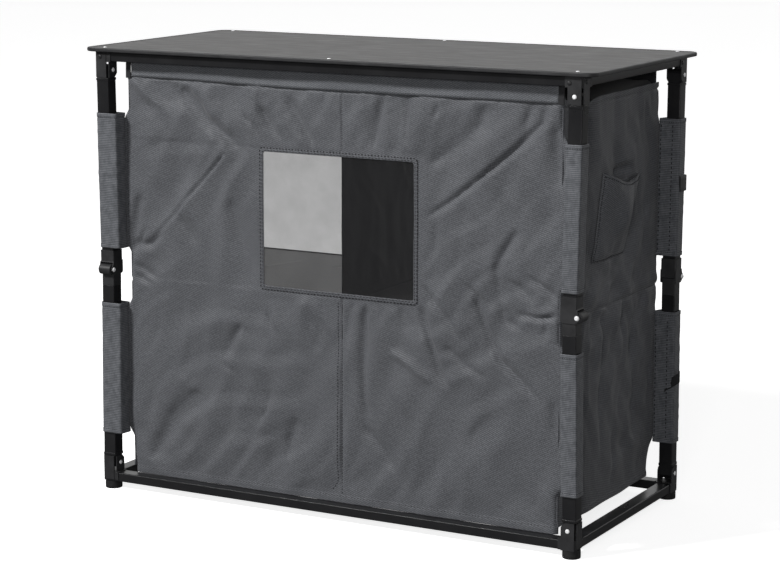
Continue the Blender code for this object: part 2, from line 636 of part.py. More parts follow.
def make_front():
    """Front cloth with its window hole and hanger strip, and the clear film in the window."""
    ear = SLEEVE_EAR
    z = breaks((FRONT_HEM_LOW, LOWER_SLEEVE[0] - ear, 2), (LOWER_SLEEVE[0] - ear, LOWER_SLEEVE[0] + ear, 2),
               (LOWER_SLEEVE[0] + ear, LOWER_SLEEVE[1] - ear, 5),
               (LOWER_SLEEVE[1] - ear, LOWER_SLEEVE[1] + ear, 2), (LOWER_SLEEVE[1] + ear, WINDOW_Z[0], 1),
               (WINDOW_Z[0], UPPER_SLEEVE[0] - ear, 1), (UPPER_SLEEVE[0] - ear, UPPER_SLEEVE[0] + ear, 2),
               (UPPER_SLEEVE[0] + ear, WINDOW_Z[1], 4), (WINDOW_Z[1], UPPER_SLEEVE[1] - ear, 1),
               (UPPER_SLEEVE[1] - ear, UPPER_SLEEVE[1] + ear, 2), (UPPER_SLEEVE[1] + ear, BODY_TOP, 2),
               (BODY_TOP, HANGER_TOP, 1))
    x = breaks((BODY_LEFT, WINDOW_X[0], 8), (WINDOW_X[0], WINDOW_X[1], 8), (WINDOW_X[1], BODY_RIGHT, 8))
    grid_x, grid_z = np.meshgrid(x, z)
    band = sleeve_band(grid_z)
    left_gap = (POST_X - SLEEVE_HALF - SLEEVE_REACH["front_left"] - 0.0012) + BODY_LEFT
    right_gap = (POST_X - SLEEVE_HALF - 0.0012) - leg_lean_shift(grid_z) - BODY_RIGHT
    left_share = np.clip((WINDOW_X[0] - grid_x) / (WINDOW_X[0] - BODY_LEFT), 0.0, 1.0) ** 6
    right_share = np.clip((grid_x - WINDOW_X[1]) / (BODY_RIGHT - WINDOW_X[1]), 0.0, 1.0) ** 6
    place_x = grid_x - left_gap * band * left_share + right_gap * band * right_share
    top = grid_z > BODY_TOP + 1e-6
    hanger_x = np.interp(grid_x, (BODY_LEFT, BODY_RIGHT), (HANGER_LEFT, HANGER_RIGHT))
    place_x = np.where(top, hanger_x, place_x)
    inside = (np.clip((grid_z - FRONT_HEM_LOW) / 0.05, 0.0, 1.0)
              * np.clip((BODY_TOP - grid_z) / 0.04, 0.0, 1.0))
    near_edge = (np.clip((grid_x - BODY_LEFT) / 0.04, 0.0, 1.0)
                 * np.clip((BODY_RIGHT - grid_x) / 0.04, 0.0, 1.0))
    rise = crease_rise(grid_x, grid_z, FRONT_CREASES) * inside * near_edge
    rise = np.where(near_edge < 0.999, np.maximum(rise, 0.0), rise)
    place_y = BODY_FRONT - rise
    window_columns = range(8, 16)
    window_rows = range(12, 19)
    in_window = np.zeros_like(grid_x, dtype=bool)
    in_window[12:20, 8:17] = True
    place_y = np.where(in_window, BODY_FRONT, place_y)
    points = np.stack((place_x, place_y, grid_z), axis=2)
    holes = [(row, column) for row in window_rows for column in window_columns]
    add_object("front_panel", sheet_mesh("front_panel", points, CLOTH, (0, 1, 0), holes), CLOTH_GREY)
    film = block(WINDOW_X[0] + GAP, WINDOW_X[1] - GAP, BODY_FRONT + 0.0003, BODY_FRONT + 0.0009,
                 WINDOW_Z[0] + GAP, WINDOW_Z[1] - GAP)
    add_object("window_film", mesh_from(film, "window_film"), CLEAR_FILM)


def side_points(sign, edge_x):
    """Grid of a side cloth: it bellies a little, reaches for the back leg's sleeve and sags at the top."""
    front_edge = BODY_FRONT + CLOTH + GAP + 0.0004
    y = breaks((front_edge, BODY_BACK, 10))
    ear = SLEEVE_EAR
    z = breaks((SIDE_HEM_LOW, LOWER_SLEEVE[0] - ear, 1), (LOWER_SLEEVE[0] - ear, LOWER_SLEEVE[0] + ear, 2),
               (LOWER_SLEEVE[0] + ear, LOWER_SLEEVE[1] - ear, 4),
               (LOWER_SLEEVE[1] - ear, LOWER_SLEEVE[1] + ear, 2), (LOWER_SLEEVE[1] + ear, SHELF_TOP, 1),
               (SHELF_TOP, UPPER_SLEEVE[0] - ear, 1), (UPPER_SLEEVE[0] - ear, UPPER_SLEEVE[0] + ear, 2),
               (UPPER_SLEEVE[0] + ear, UPPER_SLEEVE[1] - ear, 4),
               (UPPER_SLEEVE[1] - ear, UPPER_SLEEVE[1] + ear, 2), (UPPER_SLEEVE[1] + ear, BODY_TOP, 2))
    grid_y, grid_z = np.meshgrid(y, z)
    share = (grid_y - front_edge) / (BODY_BACK - front_edge)
    band = sleeve_band(grid_z)
    reach = (POST_X - SLEEVE_HALF - 0.0012) - abs(edge_x)
    place_y = grid_y
    if sign < 0:
        reach = reach - leg_lean_shift(grid_z)
    else:
        reach = reach - SLEEVE_REACH["back_right"]
        at_knee = soft_step(grid_z, *BACK_KNEE_START) * (1.0 - soft_step(grid_z, *BACK_KNEE_END))
        at_hem = 1.0 - soft_step(grid_z, *BACK_HEM_FADE)
        place_y = grid_y + (BACK_KNEE_OUT * at_knee - BACK_HEM_IN * at_hem) * share ** 4
    belly = 0.004 * np.sin(np.pi * share)
    rise = crease_rise(grid_y, grid_z, SIDE_CREASES) * np.sin(np.pi * share)
    place_x = edge_x + sign * (belly + rise + reach * band * share ** 8)
    sag = 0.010 * np.sin(np.pi * share) * soft_step(grid_z, 0.60, BODY_TOP)
    return np.stack((place_x, place_y, grid_z - sag), axis=2)


def make_sides():
    """Left and right side cloths and the small pocket sewn on the right one."""
    right = side_points(1.0, BODY_RIGHT - CLOTH)
    left = side_points(-1.0, BODY_LEFT + CLOTH)
    add_object("right_side_panel", sheet_mesh("right_side_panel", right, CLOTH, (-1, 0, 0)), CLOTH_GREY)
    add_object("left_side_panel", sheet_mesh("left_side_panel", left, CLOTH, (1, 0, 0)), CLOTH_GREY)
    y = breaks((0.0, 1.0, 8))
    z = breaks((0.0, 1.0, 8))
    share_y, share_z = np.meshgrid(y, z)
    low_y = -0.062 + 0.128 * share_y
    high_y = -0.030 + 0.130 * share_y
    place_y = low_y + (high_y - low_y) * share_z
    top_sag = 0.020 * share_y + 0.012 * np.sin(np.pi * share_y)
    place_z = 0.467 + (0.149 - top_sag) * share_z
    puff = 0.0060 * np.sin(np.pi * share_y) * np.sin(np.pi * np.clip(share_z * 0.75, 0.0, 1.0))
    place_x = np.full_like(place_y, BODY_RIGHT + 0.0088) + puff
    points = np.stack((place_x, place_y, place_z), axis=2)
    add_object("side_pocket", sheet_mesh("side_pocket", points, CLOTH, (-1, 0, 0)), CLOTH_GREY)


def make_inside():
    """Sagging cloth top, the upright divider, the two shelves and the floor of the cabinet."""
    margin = CLOTH + 0.0030
    x = breaks((BODY_LEFT + margin, BODY_RIGHT - margin, 12))
    y = breaks((BODY_FRONT + margin, BODY_BACK - 0.002, 6))
    grid_x, grid_y = np.meshgrid(x, y)
    share_x = (grid_x - x[0]) / (x[-1] - x[0])
    share_y = (grid_y - y[0]) / (y[-1] - y[0])
    sag = 0.010 * np.sin(np.pi * share_y) * (1.0 + 0.4 * np.sin(5.0 * np.pi * share_x))
    points = np.stack((grid_x, grid_y, BODY_TOP - 0.004 - sag), axis=2)
    add_object("top_panel", sheet_mesh("top_panel", points, CLOTH, (0, 0, 1)), CLOTH_GREY)
    y = breaks((BODY_FRONT + 0.008, BODY_BACK - 0.006, 6))
    z = breaks((FLOOR_TOP + 0.003, BODY_TOP - 0.026, 12))
    grid_y, grid_z = np.meshgrid(y, z)
    share_z = (grid_z - z[0]) / (z[-1] - z[0])
    wave = 0.0012 * np.sin(3.0 * np.pi * share_z) * np.cos(np.pi * (grid_y - y[0]) / (y[-1] - y[0]))
    points = np.stack((DIVIDER_X + wave, grid_y, grid_z), axis=2)
    add_object("divider", sheet_mesh("divider", points, CLOTH, (1, 0, 0)), CLOTH_GREY)
    low_y = BODY_FRONT + 0.008
    high_y = SHELF_BACK
    clear = 0.0035
    shelves = (("shelf_left", BODY_LEFT + 0.006, DIVIDER_X - clear),
               ("shelf_right", DIVIDER_X + CLOTH + clear, BODY_RIGHT - 0.006))
    for name, x0, x1 in shelves:
        outline = rounded_rectangle(x0, x1, low_y, high_y, 0.008, 2)
        shelf = prism(outline, SHELF_TOP - SHELF_THICK, SHELF_TOP)
        add_object(name, mesh_from(shelf, name), SHELF_GREY)
    outline = rounded_rectangle(BODY_LEFT + 0.006, BODY_RIGHT - 0.006, low_y, high_y, 0.008, 2)
    base = prism(outline, FLOOR_TOP - FLOOR_THICK, FLOOR_TOP)
    add_object("floor_panel", mesh_from(base, "floor_panel"), SHELF_GREY)


clear_scene()
make_table()
make_rails()
make_brackets()
make_legs()
make_front()
make_sides()
make_inside()
bpy.context.view_layer.update()
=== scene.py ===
"""Looks of a folding camping cupboard: a grey worktop on a black tube frame with a hung cloth cabinet.

The front, with the clear window, faces -Y, and the feet stand on Z = 0. Lengths are metres.
"""
import json
import math

import bmesh
import bpy
import numpy as np
from mathutils import Matrix, Vector

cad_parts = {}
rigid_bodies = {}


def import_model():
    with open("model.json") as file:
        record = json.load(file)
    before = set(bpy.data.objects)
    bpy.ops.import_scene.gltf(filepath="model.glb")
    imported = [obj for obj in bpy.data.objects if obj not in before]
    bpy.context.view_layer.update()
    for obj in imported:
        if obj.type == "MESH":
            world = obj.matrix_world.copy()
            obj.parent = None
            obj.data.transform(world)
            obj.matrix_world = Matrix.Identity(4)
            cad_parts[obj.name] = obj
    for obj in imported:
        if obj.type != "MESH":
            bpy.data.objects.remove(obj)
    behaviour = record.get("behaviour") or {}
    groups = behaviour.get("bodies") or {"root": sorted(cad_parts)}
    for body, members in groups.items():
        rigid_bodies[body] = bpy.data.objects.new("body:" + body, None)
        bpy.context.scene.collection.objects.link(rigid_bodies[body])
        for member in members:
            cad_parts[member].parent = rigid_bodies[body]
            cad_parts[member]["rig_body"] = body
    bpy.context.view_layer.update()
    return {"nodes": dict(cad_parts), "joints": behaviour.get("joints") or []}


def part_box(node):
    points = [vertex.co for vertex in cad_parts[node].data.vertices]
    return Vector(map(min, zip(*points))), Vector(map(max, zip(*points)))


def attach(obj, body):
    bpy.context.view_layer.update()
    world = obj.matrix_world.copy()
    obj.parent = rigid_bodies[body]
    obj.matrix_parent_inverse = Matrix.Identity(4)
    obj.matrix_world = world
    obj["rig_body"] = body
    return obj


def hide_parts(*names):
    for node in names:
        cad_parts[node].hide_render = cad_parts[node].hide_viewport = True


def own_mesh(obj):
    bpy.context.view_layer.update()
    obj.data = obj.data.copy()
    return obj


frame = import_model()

# The camera
# It stands a little over four metres away, in front and to the right, a third of a metre above the top.
# The place and the lens were worked out from the edges of the worktop and the legs.
CAMERA_AZIMUTH = math.radians(28.4774)
CAMERA_ELEVATION = math.radians(10.707)
CAMERA_ROLL = math.radians(0.1191)
CAMERA_DISTANCE = 4.2795
CAMERA_AIM = Vector((0.0025, 0.0, 0.3676))
CAMERA_LENS = 110.9426

back = Vector((math.sin(CAMERA_AZIMUTH) * math.cos(CAMERA_ELEVATION),
               -math.cos(CAMERA_AZIMUTH) * math.cos(CAMERA_ELEVATION), math.sin(CAMERA_ELEVATION)))
level = Vector((math.cos(CAMERA_AZIMUTH), math.sin(CAMERA_AZIMUTH), 0.0))
upright = back.cross(level)
across = level * math.cos(CAMERA_ROLL) + upright * math.sin(CAMERA_ROLL)
upright = back.cross(across)
camera = bpy.data.objects.new("camera", bpy.data.cameras.new("camera"))
bpy.context.scene.collection.objects.link(camera)
camera.data.lens = CAMERA_LENS
camera.matrix_world = Matrix.Translation(CAMERA_AIM + back * CAMERA_DISTANCE) @ Matrix(
    (across, upright, back)).transposed().to_4x4()
bpy.context.scene.camera = camera

# The corner brackets
# Eight moulded black plastic corners hold the rail ends, and the legs turn in their forks.
# The mould leaves small round edges, and the face has the fine grain of a spark-eroded tool.
MOULDED_EDGE = 0.0005
PLASTIC_BLACK = (0.016, 0.016, 0.017)
CORNERS = ("front_right", "back_right", "back_left", "front_left")


class Nodes:
    """A node tree, with short ways to add nodes to it."""

    def __init__(self, tree):
        self.tree = tree

    def add(self, kind, settings=None, **inputs):
        """A node of that kind with its settings, and with each named input set or linked."""
        made = self.tree.nodes.new("ShaderNode" + kind)
        for key, value in (settings or {}).items():
            setattr(made, key, value)
        for key, value in inputs.items():
            slot = made.inputs[int(key[1:])] if key[0] == "i" and key[1:].isdigit() else made.inputs[key]
            if isinstance(value, bpy.types.NodeSocket):
                self.tree.links.new(value, slot)
            else:
                slot.default_value = value
        return made

    def math(self, operation, *values):
        """The values put together by that operation: MULTIPLY_ADD is the first times the second, plus the third."""
        inputs = {f"i{k}": value for k, value in enumerate(values)}
        return self.add("Math", {"operation": operation}, **inputs).outputs[0]

    def spread(self, value, low, high, out_low=0.0, out_high=1.0):
        """Value between low and high, stretched to run from out_low to out_high."""
        return self.add("MapRange", i0=value, i1=low, i2=high, i3=out_low, i4=out_high).outputs[0]

    def tint(self, share, dark, light):
        """A colour between dark and light."""
        blend = self.add("Mix", {"data_type": "RGBA"}, i0=share)
        blend.inputs[6].default_value = (*dark, 1.0)
        blend.inputs[7].default_value = (*light, 1.0)
        return blend.outputs[2]


class Finish(Nodes):
    """A Principled material with its constant values, whose shader the methods feed."""

    def __init__(self, name, colour, roughness, **constants):
        self.material = bpy.data.materials.new(name)
        self.material.use_nodes = True
        super().__init__(self.material.node_tree)
        self.shader = self.tree.nodes["Principled BSDF"]
        self.shader.inputs["Base Color"].default_value = (*colour, 1.0)
        self.shader.inputs["Roughness"].default_value = roughness
        for socket, value in constants.items():
            self.shader.inputs[socket.replace("_", " ").title().replace("Ior", "IOR")].default_value = value

    def feed(self, socket, value):
        """The value drives that socket of the shader."""
        self.tree.links.new(value, self.shader.inputs[socket])

    def place(self):
        """Coordinates fixed to the piece, in metres."""
        return self.add("TexCoord").outputs["Object"]

    def grain(self, where, scale, detail=2.0, rough=0.5):
        """Soft noise between 0 and 1, with scale features to the metre."""
        return self.add("TexNoise", Vector=where, Scale=scale, Detail=detail, Roughness=rough).outputs["Fac"]

    def colour(self, share, low, high, dark, light):
        """The colour goes from dark, where share is low, to light, where it is high."""
        self.feed("Base Color", self.tint(self.spread(share, low, high), dark, light))

    def dull(self, share, low, high, least, most):
        """The roughness goes from least, where share is low, to most, where it is high."""
        self.feed("Roughness", self.spread(share, low, high, least, most))

    def relief(self, height, depth, strength=1.0):
        """Surface relief of that depth in metres."""
        self.feed("Normal", self.add("Bump", Height=height, Distance=depth, Strength=strength).outputs["Normal"])


def moulded_plastic(name, colour):
    """Black plastic with a fine eroded grain, faint flow marks and duller patches where it was handled."""
    finish = Finish(name, colour, 0.5, specular_ior_level=0.3)
    where = finish.place()
    handled = finish.grain(where, 38.0, 4.0, 0.6)
    finish.colour(handled, 0.35, 0.75, colour, tuple(1.7 * part for part in colour))
    finish.dull(handled, 0.3, 0.7, 0.42, 0.58)
    finish.relief(finish.grain(where, 2600.0, 1.0), 0.00006)
    return finish


def dress(piece, finish):
    """The piece's one material, in its slot."""
    piece.data.materials.clear()
    piece.data.materials.append(finish.material)


def settle(piece, body, replaced=None):
    """Puts the piece on its body and hides the node it stands for, if any."""
    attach(piece, body)
    if replaced:
        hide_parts(replaced)
    return piece


def rounded_copy(node, edge, sharpest, finish):
    """A welded copy of a CAD node with small round edges, in the node's place and on its body."""
    source = frame["nodes"][node]
    shell = bmesh.new()
    shell.from_mesh(source.data)
    bmesh.ops.remove_doubles(shell, verts=shell.verts, dist=0.00001)
    bmesh.ops.dissolve_limit(shell, angle_limit=math.radians(0.5), verts=shell.verts, edges=shell.edges)
    mesh = bpy.data.meshes.new(node + "_rounded")
    shell.to_mesh(mesh)
    shell.free()
    mesh.shade_smooth()
    piece = bpy.data.objects.new(node + "_rounded", mesh)
    bpy.context.scene.collection.objects.link(piece)
    bevel = piece.modifiers.new("edges", "BEVEL")
    bevel.width = edge
    bevel.segments = 2
    bevel.limit_method = "ANGLE"
    bevel.angle_limit = math.radians(sharpest)
    bevel.use_clamp_overlap = True
    flatten = piece.modifiers.new("normals", "WEIGHTED_NORMAL")
    flatten.weight = 100
    dress(piece, finish)
    return settle(piece, source["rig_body"], node)


bracket_plastic = moulded_plastic("bracket_plastic", PLASTIC_BLACK)
for corner in CORNERS:
    for level_name in ("bottom", "top"):
        rounded_copy(f"{level_name}_bracket_{corner}", MOULDED_EDGE, 35.0, bracket_plastic)

# The feet
# A round black rubber foot is pressed on the stub under each bottom bracket.
# It is turned here with a soft lower edge, a groove where the mould parts and a dished sole.
FOOT_BLACK = (0.011, 0.011, 0.012)
FOOT_SIDES = 40


def turned_points(profile, centre, axis=Vector((0, 0, 1)), sides=FOOT_SIDES):
    """Rings of points: each (radius, height) pair is carried round the axis through the centre."""
    axis = np.array(axis, float)
    first = np.cross(axis, (0.0, 0.0, 1.0) if abs(axis[2]) < 0.9 else (0.0, 1.0, 0.0))
    first /= np.linalg.norm(first)
    second = np.cross(axis, first)
    turn = np.linspace(0.0, math.tau, sides, endpoint=False)
    radius, height = np.array(profile, float).T
    ring = np.cos(turn)[None, :, None] * first + np.sin(turn)[None, :, None] * second
    return np.array(centre, float) + radius[:, None, None] * ring + height[:, None, None] * axis


def grid_quads(rows, columns, wrap=False):
    """Corner numbers of a grid's quads, in its points and in its flat map, which has one more column if it wraps."""
    row, column = np.meshgrid(np.arange(rows - 1), np.arange(columns if wrap else columns - 1), indexing="ij")
    after = (column + 1) % columns
    points = np.stack((row * columns + column, row * columns + after,
                       (row + 1) * columns + after, (row + 1) * columns + column), -1)
    wide = columns + 1 if wrap else columns
    marks = np.stack((row * wide + column, row * wide + column + 1,
                      (row + 1) * wide + column + 1, (row + 1) * wide + column), -1)
    return points.reshape(-1, 4), marks.reshape(-1, 4)


def new_piece(name, points, polygons, finish, flat=None, marks=None):
    """A mesh object from points, (m, k) arrays of corner numbers and, for cloth, its flat map in metres."""
    mesh = bpy.data.meshes.new(name)
    corners = np.concatenate([faces.ravel() for faces in polygons]).astype(np.int32)
    sizes = np.concatenate([np.full(len(faces), faces.shape[1]) for faces in polygons])
    starts = np.concatenate(([0], np.cumsum(sizes)[:-1])).astype(np.int32)
    mesh.vertices.add(len(points))
    mesh.vertices.foreach_set("co", np.ascontiguousarray(points, np.float32).ravel())
    mesh.loops.add(len(corners))
    mesh.loops.foreach_set("vertex_index", corners)
    mesh.polygons.add(len(starts))
    mesh.polygons.foreach_set("loop_start", starts)
    if flat is not None:
        places = flat[np.concatenate([faces.ravel() for faces in (marks or polygons)])]
        layer = mesh.uv_layers.new(name="cloth")
        layer.data.foreach_set("uv", np.ascontiguousarray(places, np.float32).ravel())
    mesh.update(calc_edges=True)
    mesh.validate()
    mesh.shade_smooth()
    piece = bpy.data.objects.new(name, mesh)
    bpy.context.scene.collection.objects.link(piece)
    dress(piece, finish)
    return piece


def turned_piece(name, rings, finish, sharp, body, replaced=None):
    """A closed turned piece on its body: rings joined by quads, with a flat face over the first and the last ring."""
    count, sides, _ = rings.shape
    quads, _ = grid_quads(count, sides, wrap=True)
    caps = np.stack((np.arange(sides)[::-1], np.arange(sides) + (count - 1) * sides))
    piece = new_piece(name, rings.reshape(-1, 3), [quads, caps], finish)
    piece.data.set_sharp_from_angle(angle=math.radians(sharp))
    return settle(piece, body, replaced)


foot_rubber = Finish("foot_rubber", FOOT_BLACK, 0.75, specular_ior_level=0.25)
foot_place = foot_rubber.place()
foot_rubber.colour(foot_rubber.grain(foot_place, 90.0, 5.0, 0.7), 0.45, 0.8, FOOT_BLACK, (0.030, 0.029, 0.027))
foot_rubber.relief(foot_rubber.grain(foot_place, 1400.0, 2.0), 0.0001)
for corner in CORNERS:
    low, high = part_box("foot_" + corner)
    radius = (high.x - low.x) / 2.0
    height = high.z - low.z
    profile = [(radius * 0.55, 0.0008), (radius * 0.62, 0.0), (radius - 0.0012, 0.0), (radius - 0.0003, 0.0005),
               (radius, 0.0016), (radius, height * 0.52), (radius - 0.0004, height * 0.56),
               (radius, height * 0.60), (radius - 0.0002, height)]
    rings = turned_points(profile, ((low.x + high.x) / 2.0, (low.y + high.y) / 2.0, 0.0))
    turned_piece(f"foot_{corner}_turned", rings, foot_rubber, 30.0, "base", "foot_" + corner)

# The rails and the legs
# Square steel tube, rolled thin with small round corners and powder coated in satin black.
# The coat shows a faint orange peel and is a little duller where hands and straps rub it.
TUBE_EDGE = 0.00035
TUBE_BLACK = (0.009, 0.009, 0.010)

powder_coat = Finish("powder_coat", TUBE_BLACK, 0.4, specular_ior_level=0.3)
coat_place = powder_coat.place()
coat_rubbed = powder_coat.grain(coat_place, 14.0, 5.0, 0.65)
powder_coat.dull(coat_rubbed, 0.3, 0.7, 0.26, 0.38)
powder_coat.colour(coat_rubbed, 0.4, 0.8, TUBE_BLACK, (0.014, 0.014, 0.015))
powder_coat.relief(powder_coat.grain(coat_place, 420.0, 2.0), 0.00005)
for side in ("front", "back", "left", "right"):
    for level_name in ("bottom", "top"):
        rounded_copy(f"{level_name}_rail_{side}", TUBE_EDGE, 30.0, powder_coat)
for corner in CORNERS:
    for half in ("lower", "upper"):
        rounded_copy(f"{half}_leg_{corner}", TUBE_EDGE, 30.0, powder_coat)

# The knees
# Each knee is a black moulded cap on the upper tube that closes over a knuckle in the lower tube, on a bright rivet.
# Like rivets, rolled over a little at their ends, hold the legs in the brackets; each top bracket has two bosses.
# Near-white: partly the plated steel's own colour and partly painted highlight for its glints.
RIVET_GLINT_WHITE = (0.88, 0.88, 0.89)
RIVET_RADIUS = 0.0039
RIVET_RISE = 0.0021
RIVET_PROFILE = ((0.4, -0.0006), (1.0, -0.0006), (1.02, 0.0003), (0.95, RIVET_RISE * 0.55), (0.75, RIVET_RISE * 0.9),
                 (0.5, RIVET_RISE), (0.36, RIVET_RISE * 0.97), (0.22, RIVET_RISE * 0.94), (0.05, RIVET_RISE * 0.93))
KNEE_FACE = 0.0148
BRACKET_FACE = 0.0140
TOP_RIVET_HEIGHT = 0.7605
BOSS_PROFILE = ((0.0012, -0.0006), (0.0040, -0.0006), (0.0039, 0.0004), (0.0030, 0.0013), (0.0015, 0.0018),
                (0.0002, 0.0019))
POST_X = 0.456
POST_Y = 0.208

# Plated steel, mostly diffuse: its near-white colour is partly the metal's own and partly painted highlight for its
# glints.
glint_white_steel = Finish("glint_white_steel", RIVET_GLINT_WHITE, 0.45, metallic=0.15)
steel_wear = glint_white_steel.grain(glint_white_steel.place(), 500.0, 4.0, 0.7)
glint_white_steel.dull(steel_wear, 0.3, 0.7, 0.36, 0.54)
glint_white_steel.relief(steel_wear, 0.00004)


def joint_named(name):
    """The record's joint of that name."""
    return next(joint for joint in frame["joints"] if joint["name"] == name)


def rivet_head(name, face, outward, body):
    """A closed domed head on a face, a little flat where the tube was rolled over."""
    profile = [(RIVET_RADIUS * share, rise) for share, rise in RIVET_PROFILE]
    turned_piece(name, turned_points(profile, face, outward, 28), glint_white_steel, 60.0, body)


for corner in CORNERS:
    rounded_copy("lower_knuckle_" + corner, MOULDED_EDGE, 35.0, bracket_plastic)
    rounded_copy("knee_cap_" + corner, MOULDED_EDGE, 35.0, bracket_plastic)
    frame["nodes"]["knee_pin_" + corner].material_slots[0].material = glint_white_steel.material
    holds = (("knee", "knee_" + corner, "upper_leg_" + corner, KNEE_FACE, None),
             ("bottom", "fold_" + corner, "base", BRACKET_FACE, None),
             ("top", "fold_" + corner, "table", BRACKET_FACE, TOP_RIVET_HEIGHT))
    for where, joint, body, half_span, height in holds:
        pivot = Vector(joint_named(joint)["pos_m"])
        pivot.z = pivot.z if height is None else height
        axis = Vector(joint_named(joint)["axis"]).normalized()
        for number, way in enumerate((axis, -axis)):
            rivet_head(f"{where}_rivet_{corner}_{number}", pivot + way * half_span, way, body)
    turn = math.radians(90.0 * CORNERS.index(corner))
    out, along = Vector((math.cos(turn), math.sin(turn), 0.0)), Vector((-math.sin(turn), math.cos(turn), 0.0))
    post = Vector((POST_X if "right" in corner else -POST_X, POST_Y if "back" in corner else -POST_Y, 0.0))
    for number, (face, aside, height) in enumerate(((-along, -0.0111 * out, 0.7823), (out, -0.0025 * along, 0.7843))):
        foot_point = post + face * BRACKET_FACE + aside + Vector((0.0, 0.0, height))
        turned_piece(f"top_boss_{corner}_{number}", turned_points(BOSS_PROFILE, foot_point, face, 24),
                     bracket_plastic, 60.0, "table")

# The sleeves
# A grey cloth sleeve runs on each half leg, sewn to the cabinet's edge and hemmed at both ends.
# Its cloth hangs in small level ripples, pushed together along the tube.
CLOTH = 0.0012
CLOTH_DARK = (0.041, 0.043, 0.048)
CLOTH_LIGHT = (0.131, 0.135, 0.147)
SLEEVE_HALF = 0.01425
SLEEVE_ROW = 0.0026
SLEEVE_RIPPLES = 26
SLEEVE_SHAPES = {
    "front_right": ((0.0146, 0.0146), (-0.0146, 0.0146), (-0.0146, -0.0146), (0.0, -0.0152), (0.0146, -0.0146)),
    "back_right": ((0.0146, 0.0146), (-0.0146, 0.0146), (-0.0250, -0.0100), (-0.0252, -0.0146), (0.0146, -0.0146)),
    "back_left": ((0.0146, 0.0146), (-0.0146, 0.0146), (-0.0146, -0.0146), (0.0146, -0.0146)),
    "front_left": ((0.0310, 0.0125), (-0.0146, 0.0146), (-0.0146, -0.0120), (-0.0100, -0.0156), (0.0280, -0.0156))}
SLEEVE_REACH = {"front_right": 0.0, "back_right": -0.011, "back_left": 0.0, "front_left": 0.015}
SLEEVE_SEAMS = {"back_right": (-0.0205, 0.0010)}
SLEEVE_ENDS = ((0.105, 0.343), (0.443, 0.684))
SLEEVE_EAR = 0.014
SLEEVE_HEM = 0.0066
LEG_LEAN = math.radians(1.0)
LEG_RUN = 0.3565
KNEE_HEIGHT = 0.404


def soft_step(value, low, high):
    """0 below low and 1 above high, with a smooth climb between."""
    share = np.clip((value - low) / (high - low), 0.0, 1.0)
    return share * share * (3.0 - 2.0 * share)


def bell(value, middle, wide):
    """1 at the middle, falling off to nothing about twice wide away from it."""
    return np.exp(-((value - middle) / wide) ** 2)


def woven(name, dark, light, thread=0.0031, slant=0.30, gloss=0.62, broken=(380.0, 190.0), crumpled=0.8, raised=1.0):
    """Coarse ribbed weave on the flat map: rows of broken light dashes over darker yarn, with small crumples."""
    finish = Finish(name, dark, gloss, sheen_weight=0.12, sheen_roughness=0.5, specular_ior_level=0.25)
    flat = finish.add("UVMap", {"uv_map": "cloth"}).outputs[0]
    turned = finish.add("Mapping", Vector=flat, Rotation=(0.0, 0.0, slant)).outputs[0]
    rows, yarns = (finish.add("TexWave", {"bands_direction": way, "wave_profile": "SIN"}, Vector=turned,
                              Scale=0.314 / wide, Distortion=0.0).outputs["Fac"]
                   for way, wide in (("Y", thread), ("X", 0.8 * thread)))
    dashes = finish.grain(finish.add("Mapping", Vector=turned, Scale=(*broken, 1.0)).outputs[0], 1.0, 3.0, 0.7)
    weave = finish.math("MULTIPLY_ADD", yarns, 0.35, rows)
    weave = finish.math("MULTIPLY", weave, finish.spread(dashes, 0.35, 0.65, 0.35, 1.0))
    tone = finish.math("MULTIPLY_ADD", finish.grain(flat, 9.0, 4.0, 0.6), 0.4, weave)
    finish.colour(tone, 0.20, 1.15, dark, light)
    height = finish.math("MULTIPLY_ADD", finish.grain(flat, 42.0, 3.0, 0.5), crumpled * 6.0, weave)
    finish.relief(height, 0.0003 * raised, 0.6)
    return finish


def run_along(points):
    """How far along a line of points each of them lies."""
    return np.concatenate(([0.0], np.cumsum(np.linalg.norm(np.diff(points, axis=0), axis=1))))


def places_along(points, at):
    """The places those distances along a line of points."""
    run = run_along(points)
    return np.stack([np.interp(at, run, column) for column in points.T], -1)


def unit(rows):
    """Each row divided by its length."""
    return rows / np.linalg.norm(rows, axis=1, keepdims=True)


def closed(loop):
    """The loop with its first point once more at its end."""
    return np.append(loop, loop[:1], 0)


def cloth_piece(name, points, flat, finish, body="base", keep=None, wrap=False, thick=CLOTH, replaced=None):
    """A cloth from a grid of points and its flat map's two rows of lengths, its thickness inside the shown face."""
    flat = np.stack(np.broadcast_arrays(*flat), -1).reshape(-1, 2)
    rows, columns = points.shape[:2]
    quads, marks = grid_quads(rows, columns, wrap)
    if keep is not None:
        quads, marks = quads[keep.ravel()], marks[keep.ravel()]
    used, corners = np.unique(quads, return_inverse=True)
    piece = new_piece(name, points.reshape(-1, 3)[used], [corners.reshape(-1, 4)], finish, flat, [marks])
    solid = piece.modifiers.new("thickness", "SOLIDIFY")
    solid.thickness = thick
    solid.offset = -1.0
    return settle(piece, body, replaced)


